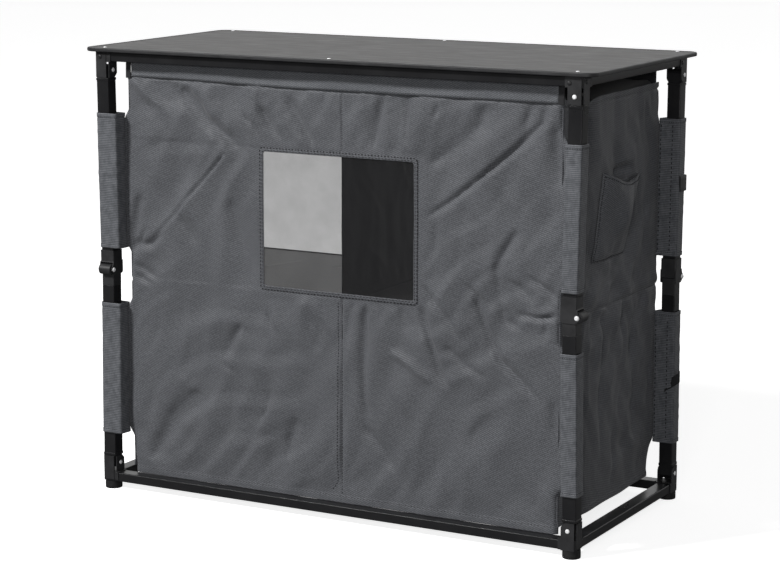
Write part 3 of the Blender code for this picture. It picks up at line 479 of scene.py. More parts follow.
def stitch_line(name, points, outward, body="base", pitch=0.0042, long=0.0029, wide=0.00035):
    """One black thread in many stitches along a line of points: each is a small spindle lying on the cloth.

    With no outward way given the line is a level ring, and its cloth faces away from the middle."""
    points = np.array(points, float)
    at = np.arange(pitch * 0.5, run_along(points)[-1] - long * 0.5, pitch)
    middle = places_along(points, at)
    ahead = unit(places_along(points, at + 0.0005) - middle)
    side = unit(np.cross(ahead, np.cross(ahead, (0.0, 0.0, 1.0)) if outward is None else outward))
    out = np.cross(side, ahead)
    ends = ahead * (long / 2.0)
    middle = middle + out * wide * 0.35
    verts = np.stack((middle - ends - out * wide * 0.6, middle + side * wide, middle + out * wide,
                      middle - side * wide, middle - out * wide, middle + ends - out * wide * 0.6), 1)
    shape = np.array(((0, 1, 2), (0, 2, 3), (0, 3, 4), (0, 4, 1), (5, 2, 1), (5, 3, 2), (5, 4, 3), (5, 1, 4)))
    faces = (np.arange(len(at))[:, None, None] * 6 + shape).reshape(-1, 3)
    return settle(new_piece(name, verts.reshape(-1, 3), [faces], thread_black), body)


def node_points(name):
    """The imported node's corner points, in the row frame."""
    mesh = frame["nodes"][name].data
    flat = np.empty(len(mesh.vertices) * 3, np.float32)
    mesh.vertices.foreach_get("co", flat)
    return flat.reshape(-1, 3).astype(float)


def soft_loop(corners, count, softness):
    """A closed loop of evenly spaced points through the corners, rounded by averaging, and its outward normals."""
    corners = closed(np.array(corners, float))
    loop = places_along(corners, np.linspace(0.0, run_along(corners)[-1], count, endpoint=False))
    reach = np.arange(-4, 5)
    weights = np.exp(-(reach / softness) ** 2)
    loop = sum(weight * np.roll(loop, shift, 0) for weight, shift in zip(weights / weights.sum(), reach))
    along = np.roll(loop, -1, 0) - np.roll(loop, 1, 0)
    return loop, unit(np.stack((along[:, 1], -along[:, 0]), -1))


cabinet_cloth = woven("cabinet_cloth", CLOTH_DARK, CLOTH_LIGHT)
# Painted shade: this near-black cloth stands in for the shade inside the cabinet, on the back band, the top sheet and
# the divider.
shade_black_cloth = woven("shade_black_cloth", (0.009, 0.010, 0.011), (0.015, 0.016, 0.018), slant=0.0, gloss=0.6,
                     crumpled=0.3, raised=0.4)
sleeve_cloth = woven("sleeve_cloth", (0.045, 0.048, 0.054), (0.145, 0.150, 0.163), slant=0.0, broken=(90.0, 60.0))
thread_black = Finish("thread_black", (0.008, 0.008, 0.009), 0.7, specular_ior_level=0.2)
thread_black.relief(thread_black.grain(thread_black.place(), 2500.0), 0.0001)
for number, corner in enumerate(CORNERS):
    for half in ("lower", "upper"):
        node = f"{half}_sleeve_{corner}"
        shell = node_points(node)
        low, high = shell[:, 2].min(), shell[:, 2].max()
        shift = np.array((SLEEVE_REACH[corner] / 2.0, 0.0, 0.0))
        foot_end = shell[shell[:, 2] < low + 0.003].mean(0) - shift
        head_end = shell[shell[:, 2] > high - 0.003].mean(0) - shift
        height = np.linspace(low, high, int((high - low) / SLEEVE_ROW))
        ring, normal = soft_loop(SLEEVE_SHAPES[corner], 72, 2.0)
        around = run_along(closed(ring))
        rng = np.random.default_rng(40 + number * 2 + (half == "upper"))
        waves = np.zeros((len(height), len(ring)))
        for _ in range(SLEEVE_RIPPLES):
            middle, half_high = rng.uniform(low, high), rng.uniform(0.0025, 0.008)
            lean, phase = rng.uniform(-0.25, 0.25), rng.uniform(0.0, math.tau)
            line = height[:, None] - middle - lean * (np.cos(math.tau * around[:-1] / around[-1] + phase)) * 0.03
            fade = 0.5 + 0.5 * np.cos(math.tau * around[:-1] / around[-1] - phase * 1.7)
            waves += rng.uniform(-0.0006, 0.0007) * bell(line, 0.0, half_high) * fade
        end_gap = np.minimum(height - low, high - height)[:, None]
        proud = 0.0005 * (1.0 - soft_step(end_gap, SLEEVE_HEM, SLEEVE_HEM + 0.0012))
        proud = proud - 0.0005 * bell(end_gap, 0.0074, 0.0009)
        out = waves * soft_step(end_gap, 0.004, 0.02) + proud
        line = foot_end + (head_end - foot_end) * ((height - low) / (high - low))[:, None]
        points = np.empty((len(height), len(ring), 3))
        points[:, :, :2] = line[:, None, :2] + ring + normal * out[:, :, None]
        points[:, :, 2] = height[:, None]
        body = f"{half}_leg_{corner}"
        sleeve = cloth_piece(node + "_cloth", points, (around[None, :], height[:, None]), sleeve_cloth, body, wrap=True,
                             thick=0.0009, replaced=node)
        for label, end in (("low", low + SLEEVE_HEM), ("high", high - SLEEVE_HEM)):
            centre = foot_end + (head_end - foot_end) * (end - low) / (high - low)
            path = np.column_stack((centre[:2] + ring + normal * 0.0004, np.full(len(ring), end)))
            stitch_line(f"{node}_{label}_stitches", closed(path), None, body, wide=0.0005)
        for row, place_x in enumerate(SLEEVE_SEAMS.get(corner, ())):
            nearest = np.argmin(np.abs(ring[:, 0] - place_x) + 9.0 * (ring[:, 1] > 0.0))
            path = points[3:-3, nearest] + np.append(normal[nearest], 0.0) * 0.0001
            stitch_line(f"{node}_seam_{row}", path, (*normal[nearest], 0.0), body,
                                    0.0080, 0.0056, 0.0010)

# The front cloth
# One cut of coated grey polyester hangs from the top seam and is drawn out to the sleeves at both sides.
# It pulls in folds from its corners and puckers round the window; the low edge is turned up and stitched.
BODY_LEFT = -0.418
BODY_RIGHT = 0.425
BODY_FRONT = -0.198
BODY_BACK = 0.204
BODY_TOP = 0.753
SEAM_X = 0.0165
WINDOW = (-0.138, 0.155, 0.400, 0.634)
BORDER = (-0.146, 0.1635, 0.392, 0.6415)
FOLD_GAIN = 3.9
FOLD_SPREAD = 0.95
CRUMPLES = 16
CUT_MIDDLE = (0.0085, 0.517)
CUT_HALF = (0.149, 0.1195)
DEEPEST = 0.0075
HIGHEST = 0.012
FRONT_FOLDS = (
    (-6.0, 11, (-306, 735), (-247, 677), (-180, 634)), (-2.0, 5, (-183, 700), (-158, 677), (-143, 646)),
    (-3.0, 7, (-148, 715), (-124, 682), (-99, 651)), (-4.6, 8, (-90, 730), (-58, 680), (-37, 647)),
    (-1.6, 5, (0, 673), (3, 649)), (-1.6, 3, (-212, 630), (-252, 587), (-314, 519), (-372, 458)),
    (2.6, 10, (-408, 752), (-367, 714), (-328, 692)), (-3.0, 8, (-390, 544), (-401, 487), (-408, 427)),
    (-2.6, 6, (-416, 449), (-372, 453), (-342, 478)), (-2.0, 6, (-411, 416), (-370, 397), (-350, 387)),
    (-2.0, 12, (-311, 514), (-289, 479), (-276, 452)), (-2.0, 12, (-207, 549), (-192, 495), (-173, 442)),
    (-3.0, 7, (97, 745), (85, 692), (76, 645)), (-2.0, 5, (140, 745), (141, 674), (153, 642)),
    (-2.0, 6, (201, 736), (189, 698)), (-3.0, 11, (287, 738), (276, 703), (237, 669), (177, 627)),
    (-3.0, 5, (392, 741), (388, 712), (332, 661), (280, 618), (220, 571), (178, 543)),
    (-2.0, 5, (369, 745), (358, 708), (352, 700)), (-2.6, 8, (424, 717), (404, 669), (417, 606)),
    (-2.8, 8, (345, 537), (311, 477), (308, 464), (317, 416)), (-2.0, 6, (329, 452), (382, 416)),
    (-2.2, 4, (254, 437), (294, 400)), (-2.0, 5, (166, 432), (203, 391)), (-1.0, 6, (196, 531), (193, 470)),
    (-2.0, 5, (-135, 358), (-129, 336), (-110, 310)), (-2.0, 5, (-39, 390), (-33, 371)),
    (-2.6, 12, (-181, 331), (-208, 291), (-228, 255)), (-1.8, 7, (-228, 258), (-199, 235)),
    (-3.0, 13, (-72, 172), (-89, 124), (-92, 92)), (-5.5, 16, (-269, 195), (-324, 142), (-384, 52)),
    (-2.2, 9, (-130, 217), (-137, 176), (-160, 144)), (-1.6, 5, (-49, 350), (-43, 325)),
    (-3.4, 6, (166, 395), (188, 330), (204, 284), (222, 253)), (-2.0, 6, (182, 413), (222, 370), (246, 336)),
    (-2.0, 7, (210, 330), (253, 298), (295, 278)),
    (-3.6, 6, (270, 424), (288, 368), (316, 316), (349, 289), (382, 254)),
    (-2.0, 6, (311, 417), (324, 382), (365, 367)), (-1.8, 5, (400, 387), (398, 352)),
    (-2.4, 8, (405, 257), (412, 206), (421, 168)),
    (-3.6, 8, (63, 385), (60, 337), (57, 274), (60, 218), (70, 184)), (-1.6, 5, (129, 388), (136, 364)),
    (2.4, 8, (108, 311), (148, 290), (192, 261)), (-2.4, 8, (57, 174), (99, 131), (124, 94)),
    (-1.6, 6, (272, 197), (266, 166)), (-1.6, 6, (387, 92), (381, 66)), (-1.6, 6, (273, 344), (277, 306)),
    (-3.0, 4, (-414, 436), (-392, 458), (-380, 486)), (-3.0, 4, (-412, 398), (-386, 386), (-366, 380)),
    (-3.0, 4, (422, 424), (392, 444), (356, 462)), (-3.0, 4, (422, 398), (384, 392), (340, 396)))


def fold_rise(u, v, folds):
    """Height in metres of the listed folds: each is the height and half width in millimetres and a line of points.

    Across its line a fold is a narrow bell with long tails and a low shoulder, and it weakens along the line."""
    total = np.zeros(np.broadcast(u, v).shape)
    for height, half, *line in folds:
        line = np.array(line, float) / 1000.0
        lengths = np.linalg.norm(np.diff(line, axis=0), axis=1)
        starts = run_along(line)
        best = np.full(total.shape, 1e9)
        along = np.zeros(total.shape)
        for k, size in enumerate(lengths):
            way = (line[k + 1] - line[k]) / size
            run = np.clip((u - line[k, 0]) * way[0] + (v - line[k, 1]) * way[1], 0.0, size)
            away = np.hypot(u - line[k, 0] - run * way[0], v - line[k, 1] - run * way[1])
            nearer = away < best
            best = np.where(nearer, away, best)
            along = np.where(nearer, starts[k] + run, along)
        across = best / (half * FOLD_SPREAD / 1000.0)
        fade = soft_step(along, -0.004, 0.022) * soft_step(starts[-1] - along, -0.004, 0.030)
        fade = fade * (1.0 - 0.5 * along / starts[-1])
        total += height / 1000.0 * fade * (1.3 * np.exp(-across ** 1.3) - 0.3 * np.exp(-(across / 3.2) ** 2))
    return total


def crumple_rise(u, v, seed, strength):
    """Random slack folds added up: rounded saw-tooth waves, most of them upright, bent a little, in patches."""
    rng = np.random.default_rng(seed)
    total = np.zeros(np.broadcast(u, v).shape)
    for _ in range(CRUMPLES):
        lean, long = rng.normal(0.0, 0.65), rng.uniform(0.045, 0.14)
        bend, start = rng.uniform(0.0, math.tau, 2)
        line = u * math.cos(lean) + v * math.sin(lean)
        aside = -u * math.sin(lean) + v * math.cos(lean)
        turn = math.tau * line / long + 1.2 * np.sin(math.tau * aside / (4.0 * long) + bend)
        wave = np.sin(turn + 0.6 * np.sin(turn))
        crest = np.arcsin(0.95 * wave) / math.asin(0.95)
        near = np.sin(aside * rng.uniform(7.0, 19.0) + start) + np.sin(line * rng.uniform(9.0, 23.0) + bend)
        total += long * 0.012 * strength * crest * soft_step(near, 0.0, 1.4)
    return total


def sleeve_band(z):
    """1 at the heights where the cloth is sewn to a sleeve and 0 at the bare knee and leg ends."""
    return sum(soft_step(z, low - SLEEVE_EAR, low + SLEEVE_EAR)
               * (1.0 - soft_step(z, high - SLEEVE_EAR, high + SLEEVE_EAR)) for low, high in SLEEVE_ENDS)


def leg_lean(z):
    """How far a leg stands inward of its post line at a height, most at the knee."""
    return math.tan(LEG_LEAN) * (LEG_RUN - np.abs(z - KNEE_HEIGHT))


PUCKERS = np.random.default_rng(11)
PUCKER_ROWS = ((-0.13, 0.155, 19), (-0.13, 0.155, 17), (-0.40, 0.41, 34))
pucker_x = np.concatenate([np.linspace(*row) for row in PUCKER_ROWS])
pucker_row = np.repeat((0, 1, 2), [row[2] for row in PUCKER_ROWS])
pucker_x = pucker_x + PUCKERS.uniform(-0.008, 0.008, len(pucker_x))
pucker_reach = PUCKERS.uniform(0.018, 0.060, len(pucker_x))
pucker_deep = PUCKERS.uniform(0.0006, 0.0024, len(pucker_x))
pucker_wide = PUCKERS.uniform(0.0030, 0.0060, len(pucker_x))
pucker_lean = PUCKERS.uniform(-0.35, 0.35, len(pucker_x))


def front_rise(x, z):
    """How far the front cloth stands out at (x, z): the folds, the puckers at the window and the hem's turn-up."""
    rise = FOLD_GAIN * fold_rise(x, z, FRONT_FOLDS) + crumple_rise(x, z, 5, 1.6)
    row_gaps = (z - BORDER[3], BORDER[2] - z, 0.7465 - z)
    for k, row in enumerate(pucker_row):
        beyond = row_gaps[row]
        fade = soft_step(beyond, -0.006, 0.001) * (1.0 - soft_step(beyond, 0.0, pucker_reach[k]))
        rise = rise - pucker_deep[k] * fade * bell(x, pucker_x[k] + pucker_lean[k] * beyond, pucker_wide[k])
    beside = np.hypot(np.maximum(np.maximum(BORDER[0] - x, x - BORDER[1]), 0.0),
                      np.maximum(np.maximum(BORDER[2] - z, z - BORDER[3]), 0.0))
    rise = rise * (0.25 + 0.75 * soft_step(beside, 0.0, 0.02))
    rise = np.where(rise < 0.0, DEEPEST * np.tanh(rise / DEEPEST), HIGHEST * np.tanh(rise / HIGHEST))
    rise = rise * (1.0 - 0.92 * bell(x, 0.0195, 0.0055))
    seamed = np.abs(z - CUT_MIDDLE[1]) > 0.125
    rise = rise - 0.0018 * (bell(x, SEAM_X, 0.0022) * seamed)
    rise = rise + 0.0010 * (1.0 - soft_step(x, SEAM_X - 0.0016, SEAM_X)) * seamed
    edge = np.minimum(x - BODY_LEFT, BODY_RIGHT - x)
    rise = rise * soft_step(edge, -0.004, 0.02) * soft_step(z, 0.020, 0.075) * (1.0 - soft_step(z, 0.735, 0.757))
    turn_up = 0.0012 * (1.0 - soft_step(z, 0.0425, 0.0455)) - 0.0006 * bell(z, 0.0425, 0.0013)
    ripple = 0.0009 * np.sin(x * 36.0 + 0.8) * (1.0 - soft_step(z, 0.034, 0.08))
    tuck = 0.0024 * bell(z, 0.7482 - 0.0045 * soft_step(x, -0.41, -0.04), 0.0018)
    return rise + turn_up + ripple - tuck


def runs(*pieces):
    """Grid lines: each piece is (start, end, widest step), and each goes on from the one before."""
    lines = [np.array([pieces[0][0]])]
    for start, end, step in pieces:
        lines.append(np.linspace(start, end, int(math.ceil(abs(end - start) / step)) + 1)[1:])
    return np.concatenate(lines)


def front_place(x, z):
    """Points of the front cloth for flat places (x, z), with its ears to the sleeves and its edges turned back."""
    band = sleeve_band(z)
    left_gap = 0.0075 * band + 0.0015 * soft_step(z, 0.690, 0.715) - 0.0035 * (1.0 - soft_step(z, 0.035, 0.075))
    right_gap = (POST_X - SLEEVE_HALF - CLOTH - leg_lean(z) - BODY_RIGHT) * band
    left_share = np.clip((WINDOW[0] - x) / (WINDOW[0] - BODY_LEFT), 0.0, 1.0) ** 6
    right_share = np.clip((x - WINDOW[1]) / (BODY_RIGHT - WINDOW[1]), 0.0, 1.0) ** 6
    edge = np.minimum(x - BODY_LEFT, BODY_RIGHT - x)
    turn = 0.006 * np.clip(1.0 - edge / 0.010, 0.0, 1.0) ** 2 * (1.0 - band)
    return np.stack((x - left_gap * left_share + right_gap * right_share,
                     BODY_FRONT - front_rise(x, z) + turn, z), -1)


line_x = runs((BODY_LEFT, BODY_LEFT + 0.012, 0.0020), (BODY_LEFT + 0.012, -0.1405, 0.0037),
              (-0.1405, 0.0125, 0.0037), (0.0125, 0.0205, 0.0016), (0.0205, 0.1575, 0.0037),
              (0.1575, BODY_RIGHT - 0.012, 0.0037), (BODY_RIGHT - 0.012, BODY_RIGHT, 0.0020))
line_z = runs((0.0314, 0.0480, 0.0012), (0.0480, 0.3975, 0.0037), (0.3975, 0.6365, 0.0037), (0.6365, 0.7400, 0.0037),
               (0.7400, 0.7560, 0.0012))
cut_x, cut_z = np.meshgrid(line_x, line_z)
middle_x = (line_x[1:] + line_x[:-1]) / 2.0
middle_z = (line_z[1:] + line_z[:-1]) / 2.0
outside = ~((np.abs(middle_x - CUT_MIDDLE[0]) < CUT_HALF[0])[None, :]
            & (np.abs(middle_z - CUT_MIDDLE[1]) < CUT_HALF[1])[:, None])
front = cloth_piece("front_cloth", front_place(cut_x, cut_z), (cut_x, cut_z), cabinet_cloth,
                    keep=outside, replaced="front_panel")

# The window's border
# The cloth round the window is turned in over the film as a flat band and sewn down twice.
# The front's other stitching is here too: its middle seam, its hem and its two edges.


def rounded_loop(box, radius, side_points=26, bend_points=7):
    """Points round a rounded rectangle (x0, x1, z0, z1), with the same count for every size."""
    x0, x1, z0, z1 = box
    centres = ((x1 - radius, z1 - radius, 0.0), (x0 + radius, z1 - radius, 90.0),
               (x0 + radius, z0 + radius, 180.0), (x1 - radius, z0 + radius, 270.0))
    arcs = [np.array([(cx + radius * math.cos(math.radians(a)), cz + radius * math.sin(math.radians(a)))
                      for a in np.linspace(start, start + 90.0, bend_points)]) for cx, cz, start in centres]
    loop = []
    for k, arc in enumerate(arcs):
        after = arcs[(k + 1) % 4][0]
        loop += [arc, arc[-1] + (after - arc[-1]) * (np.arange(1, side_points) / side_points)[:, None]]
    return np.concatenate(loop)


def window_loop(out, radius):
    """Points round the window, that far outside its edge."""
    return rounded_loop((WINDOW[0] - out, WINDOW[1] + out, WINDOW[2] - out, WINDOW[3] + out), radius)


insets = ((0.0, 0.0002, 0.004), (0.0, -0.0008, 0.004), (0.0008, -0.0012, 0.0048), (0.0030, -0.0010, 0.006),
          (0.0062, -0.0010, 0.0072), (0.0076, -0.0005, 0.0080), (0.0080, 0.0002, 0.0080))
loops = [(window_loop(out, radius), lift) for out, lift, radius in insets][::-1]
band_points = np.stack([np.column_stack((loop[:, 0], BODY_FRONT + lift - front_rise(*loop.T), loop[:, 1]))
                        for loop, lift in loops])
band_flat = np.stack([closed(loop).T for loop, lift in loops], 1)
border = cloth_piece("window_border", band_points, band_flat, cabinet_cloth, wrap=True, thick=0.0006)
front_stitches = [border]
for number, out in enumerate((0.0022, 0.0066)):
    loop = closed(window_loop(out, 0.006))
    path = np.column_stack((loop[:, 0], BODY_FRONT - 0.0012 - front_rise(*loop.T), loop[:, 1]))
    front_stitches.append(stitch_line(f"window_stitches_{number}", path, (0, -1, 0), "base", 0.0062, 0.0046,
                                      0.0008 + 0.0004 * number))
for name, wide, count, x_ends, z_ends, bend in (
        ("seam_stitches_top", 0.0009, 40, (SEAM_X, SEAM_X), (0.645, 0.748), 0.0),
        ("seam_stitches_low", 0.0010, 90, (SEAM_X, SEAM_X), (0.046, 0.388), 0.0),
        ("seam_stitches_low_2", 0.0010, 90, (SEAM_X - 0.0075, SEAM_X - 0.0075), (0.052, 0.388), 0.012),
        ("hem_stitches", 0.0005, 160, (-0.409, 0.422), (0.0428, 0.0428), 0.0),
        ("left_stitches_low", 0.0004, 90, (BODY_LEFT + 0.005, BODY_LEFT + 0.005), (0.045, 0.39), 0.0),
        ("left_stitches_high", 0.0004, 90, (BODY_LEFT + 0.005, BODY_LEFT + 0.005), (0.41, 0.745), 0.0),
        ("right_stitches_low", 0.0004, 90, (BODY_RIGHT - 0.005, BODY_RIGHT - 0.005), (0.045, 0.39), 0.0),
        ("right_stitches_high", 0.0004, 90, (BODY_RIGHT - 0.005, BODY_RIGHT - 0.005), (0.41, 0.74), 0.0)):
    x_line = np.linspace(*x_ends, count) - bend * np.clip(1.0 - np.linspace(0.0, 13.0, count), 0.0, 1.0) ** 2
    front_stitches.append(stitch_line(name, front_place(x_line, np.linspace(*z_ends, count)), (0, -1, 0), "base",
                                      0.0058, 0.0044, wide))

# The window
# A sheet of clear flexible film behind the border: slightly tinted, with soft ripples and a few smudges.
# The border's two rows of stitches hold it.
FILM_TINT = (0.020, 0.020, 0.021)
FILM_OPACITY = 0.42

film = Finish("clear_film", FILM_TINT, 0.10, alpha=FILM_OPACITY, specular_ior_level=0.25)
film_smudge = film.grain(film.place(), 16.0, 4.0, 0.6)
film.feed("Alpha", film.spread(film_smudge, 0.35, 0.75, FILM_OPACITY, FILM_OPACITY + 0.05))
film.dull(film_smudge, 0.3, 0.8, 0.06, 0.22)
pane_x, pane_z = np.meshgrid(runs((BORDER[0] + 0.001, BORDER[1] - 0.001, 0.008)),
                             runs((BORDER[2] + 0.001, BORDER[3] - 0.001, 0.008)))
pane_y = BODY_FRONT + 0.0016 + 0.0005 * np.sin(pane_x * 41.0 + pane_z * 17.0) * np.sin(pane_z * 29.0)
pane = cloth_piece("window_pane", np.stack((pane_x, pane_y, pane_z), -1), (pane_x, pane_z), film, thick=0.0004,
                   replaced="window_film")

# The hanger band
# A smooth folded tape, lighter than the cloth, joins the front cloth's top seam to the rail above.
# It is a little slack, so it waves, and short black straps hold its ends to the frame; the back has one alike, whose
# near-black cloth is painted shade.
BAND_LEFT = -0.4085
BAND_RIGHT = 0.4165

band_cloth = woven("band_cloth", (0.050, 0.053, 0.059), (0.145, 0.151, 0.163), slant=-0.5, gloss=0.55)
strap_web = woven("strap_web", (0.008, 0.008, 0.009), (0.017, 0.017, 0.019), thread=0.0018, slant=0.0)
share_x, share_z = np.meshgrid(np.linspace(0.0, 1.0, 200), np.linspace(0.0, 1.0, 10))
band_x = BAND_LEFT + (BAND_RIGHT - BAND_LEFT) * share_x
low_edge = 0.7505 - 0.0045 * soft_step(share_x, 0.0, 0.45)
band_z = low_edge + (0.7752 - low_edge) * share_z
band_y = (BODY_FRONT - 0.0020 - 0.0014 * np.sin(band_x * 21.0 + 1.0) * np.sin(math.pi * np.clip(share_z, 0, 1))
          - 0.0008 * np.sin(band_x * 63.0 + 2.0) * share_z + 0.0012 * share_z)
band = cloth_piece("hanger_band", np.stack((band_x, band_y, band_z), -1), (band_x, band_z), band_cloth)
band_stitch = stitch_line("band_stitches", np.stack((band_x[0], band_y[0] - 0.0001, band_z[0] + 0.0022), -1),
                          (0, -1, 0))
band_back_y = BODY_BACK - 0.0035 + 0.0012 * np.sin(band_x * 25.0)
# The back band's near-black cloth is painted shade.
band_back = cloth_piece("hanger_band_back", np.stack((band_x + 0.0045, band_back_y, band_z), -1)[:, ::-1],
                        (-band_x[:, ::-1], band_z[:, ::-1]), shade_black_cloth)
straps = []


def strap_piece(name, line, across, outward, body="base"):
    """A flat webbing strap along a line of points: its width runs along across, its face looks outward."""
    line, across = np.array(line, float), np.array(across, float)
    run = np.linspace(0.0, run_along(line)[-1], 28)
    side = np.linspace(-0.5, 0.5, 7)
    points = places_along(line, run)[:, None, :] + side[None, :, None] * across
    if np.dot(np.cross(across, line[1] - line[0]), outward) < 0.0:
        points, side = points[:, ::-1], side[::-1]
    flat = (side[None, :] * np.linalg.norm(across), run[:, None])
    return cloth_piece(name, points, flat, strap_web, body, thick=0.0011)


for name, x, z_low in (("strap_front_left", -0.4135, 0.7470), ("strap_front_right", 0.4220, 0.7440)):
    strap = strap_piece(name, ((x, BODY_FRONT - 0.0030, z_low), (x, BODY_FRONT - 0.0022, 0.7755)),
                        (0.0102, 0, 0), (0, -1, 0))
    straps.append(strap)

# The side cloths
# The left and right sides are cut from the same cloth and hang from the top rails between their sleeves.
# They are slack, so they fold upright, sag between their corners and show the shelf's seam.
SIDE_FRONT = BODY_FRONT + CLOTH + 0.0007
SIDE_FOLDS = (
    (-4.0, 12, (-150, 740), (-135, 650), (-128, 560), (-134, 500)), (-3.0, 9, (-100, 735), (-92, 690), (-95, 655)),
    (3.0, 12, (-175, 700), (-165, 600), (-168, 480)), (-3.5, 10, (-120, 470), (-128, 430), (-122, 396)),
    (-3.0, 11, (130, 738), (150, 690), (160, 640)), (-3.0, 9, (150, 560), (140, 500), (148, 440)),
    (-3.0, 10, (-150, 380), (-140, 310), (-146, 230), (-138, 150)), (3.0, 12, (-90, 372), (-84, 300), (-92, 200)),
    (-3.6, 11, (-30, 380), (-22, 300), (-34, 210), (-26, 110)), (-2.6, 10, (48, 384), (60, 320), (52, 240)),
    (-3.4, 12, (110, 380), (104, 290), (118, 200), (112, 110)), (-3.0, 8, (182, 260), (170, 180), (186, 110)),
    (-3.0, 9, (20, 160), (28, 110), (16, 60)), (3.0, 9, (150, 150), (160, 100), (152, 60)))
SHELF_TOP = 0.389
RIGHT_SEED = 21
LEFT_SEED = 33
POCKET_MOUTH = (0.050, 0.6085)


def side_share(y):
    """0 at the front edge of a side cloth and 1 at its back edge."""
    return np.clip((y - SIDE_FRONT) / (BODY_BACK - SIDE_FRONT), 0.0, 1.0)


def side_rise(y, z, seed):
    """How far a side cloth stands out: its folds, fading to the edges, the shelf seam's pinch and the hems.

    Behind the pocket's mouth the right cloth is pressed in, as an oval hollow."""
    share = side_share(y)
    rise = 1.6 * fold_rise(y, z, SIDE_FOLDS) + crumple_rise(y, z, seed, 2.0)
    rise = rise * np.minimum(1.0, 2.2 * np.sin(np.pi * share))
    pinch = bell(z, SHELF_TOP - 0.002, 0.0035)
    swell = 0.004 * np.sin(np.pi * share) + 0.003 * bell(z, SHELF_TOP + 0.010, 0.010) * share
    rise = rise * (1.0 - 0.7 * pinch) - 0.0022 * pinch
    hem = 0.0011 * (1.0 - soft_step(z, 0.0520, 0.0545)) - 0.0005 * bell(z, 0.0515, 0.0013)
    hem = hem - 0.0022 * bell(z, 0.7410, 0.0022) + 0.0010 * soft_step(z, 0.7420, 0.7450)
    beside = y - POCKET_MOUTH[0]
    apart = (beside / 0.026) ** 2 + ((z - POCKET_MOUTH[1] - 0.10 * beside) / 0.0125) ** 2
    hollow = np.exp(-apart ** 2) * (seed == RIGHT_SEED)
    return swell + rise * soft_step(z, 0.03, 0.09) * (1.0 - 0.6 * soft_step(z, 0.71, 0.752)) + hem - 0.017 * hollow


def side_place(sign, y, z, seed):
    """Points of a side cloth for flat places (y, z)."""
    share = side_share(y)
    edge_x = BODY_RIGHT - CLOTH if sign > 0 else -BODY_LEFT - CLOTH
    reach = POST_X - SLEEVE_HALF - CLOTH - edge_x - (leg_lean(z) if sign < 0 else 0.011)
    out = edge_x + side_rise(y, z, seed) + reach * sleeve_band(z) * share ** 8
    droop = 0.0065 + 0.012 * bell(y, -0.125, 0.035)
    sag = droop * np.minimum(1.0, 12.0 * share) * soft_step(z, 0.60, BODY_TOP)
    hem_wave = 0.0007 * np.sin(y * 44.0 + seed) * (1.0 - soft_step(z, 0.043, 0.11))
    knee = soft_step(z, 0.335, 0.365) * (1.0 - soft_step(z, 0.420, 0.450))
    edge = (0.008 * knee - 0.018 * (1.0 - soft_step(z, 0.070, 0.119))) * (sign > 0) + 0.0016 * np.sin(z * 90.0)
    return np.stack((sign * out, y + edge * share ** 4, z - sag + hem_wave), -1)


side_y = runs((SIDE_FRONT, BODY_BACK, 0.0036))
side_z = runs((0.0430, 0.0580, 0.0012), (0.0580, 0.380, 0.0040), (0.380, 0.402, 0.0018), (0.402, 0.7340, 0.0040),
              (0.7340, BODY_TOP, 0.0015))
side_cloths = {}
for name, sign, seed in (("right", 1.0, RIGHT_SEED), ("left", -1.0, LEFT_SEED)):
    cut_y, cut_z = np.meshgrid(side_y[::int(sign)], side_z)
    cloth = cloth_piece(f"{name}_side_cloth", side_place(sign, cut_y, cut_z, seed),
                        (cut_y * sign, cut_z), cabinet_cloth, replaced=f"{name}_side_panel")
    threads = []
    for label, y_ends, z_ends in (("hem", (SIDE_FRONT + 0.004, BODY_BACK - 0.004), (0.0516, 0.0516)),
                                  ("shelf", (SIDE_FRONT + 0.004, BODY_BACK - 0.004), (SHELF_TOP - 0.002,) * 2),
                                  ("front_low", (SIDE_FRONT + 0.0045,) * 2, (0.050, 0.375)),
                                  ("front_high", (SIDE_FRONT + 0.0045,) * 2, (0.400, 0.742)),
                                  ("back_low", (BODY_BACK - 0.0045,) * 2, (0.050, 0.375)),
                                  ("back_high", (BODY_BACK - 0.0045,) * 2, (0.400, 0.742))):
        line = side_place(sign, np.linspace(*y_ends, 90), np.linspace(*z_ends, 90), seed)
        threads.append(stitch_line(f"{name}_{label}_stitches", line, (sign, 0, 0)))
    side_cloths[name] = (cloth, threads)

# The side pocket
# A small slanted patch pocket of the same cloth is sewn on the right side; its top edge hangs open.
# It bellies out in the middle, and the stitches hold its edges close to the side cloth.
pocket_s, pocket_t = np.meshgrid(np.linspace(0.0, 1.0, 48), np.linspace(0.0, 1.0, 56))
low_y = -0.0805 + 0.1335 * pocket_s
high_y = -0.0450 + 0.1390 * pocket_s
pocket_y = low_y + (high_y - low_y) * pocket_t
pocket_droop = 0.0135 * np.sin(np.pi * np.clip(pocket_s * 1.15, 0.0, 1.0))
pocket_z = 0.468 + (0.1485 - 0.0175 * pocket_s - pocket_droop) * pocket_t
puff = 0.0210 * np.sin(np.pi * pocket_s) ** 0.8 * np.sin(np.pi * np.clip(pocket_t * 0.62, 0.0, 1.0)) ** 1.2
edge_gap = np.minimum(np.minimum(pocket_s, 1.0 - pocket_s) * 0.134, pocket_t * 0.149)
held = soft_step(edge_gap, 0.0, 0.010)
behind = side_place(1.0, pocket_y, pocket_z, RIGHT_SEED)
pocket_x = behind[..., 0] + 0.0016 + puff + 0.0035 * held + 0.5 * crumple_rise(pocket_y, pocket_z, 61, 1.0) * held
pocket = cloth_piece("pocket_cloth", np.stack((pocket_x, pocket_y, behind[..., 2]), -1),
                     (pocket_s * 0.134, pocket_t * 0.149), cabinet_cloth, replaced="side_pocket")
pocket_threads = []
pocket_points = np.stack((pocket_x, pocket_y, behind[..., 2]), -1)
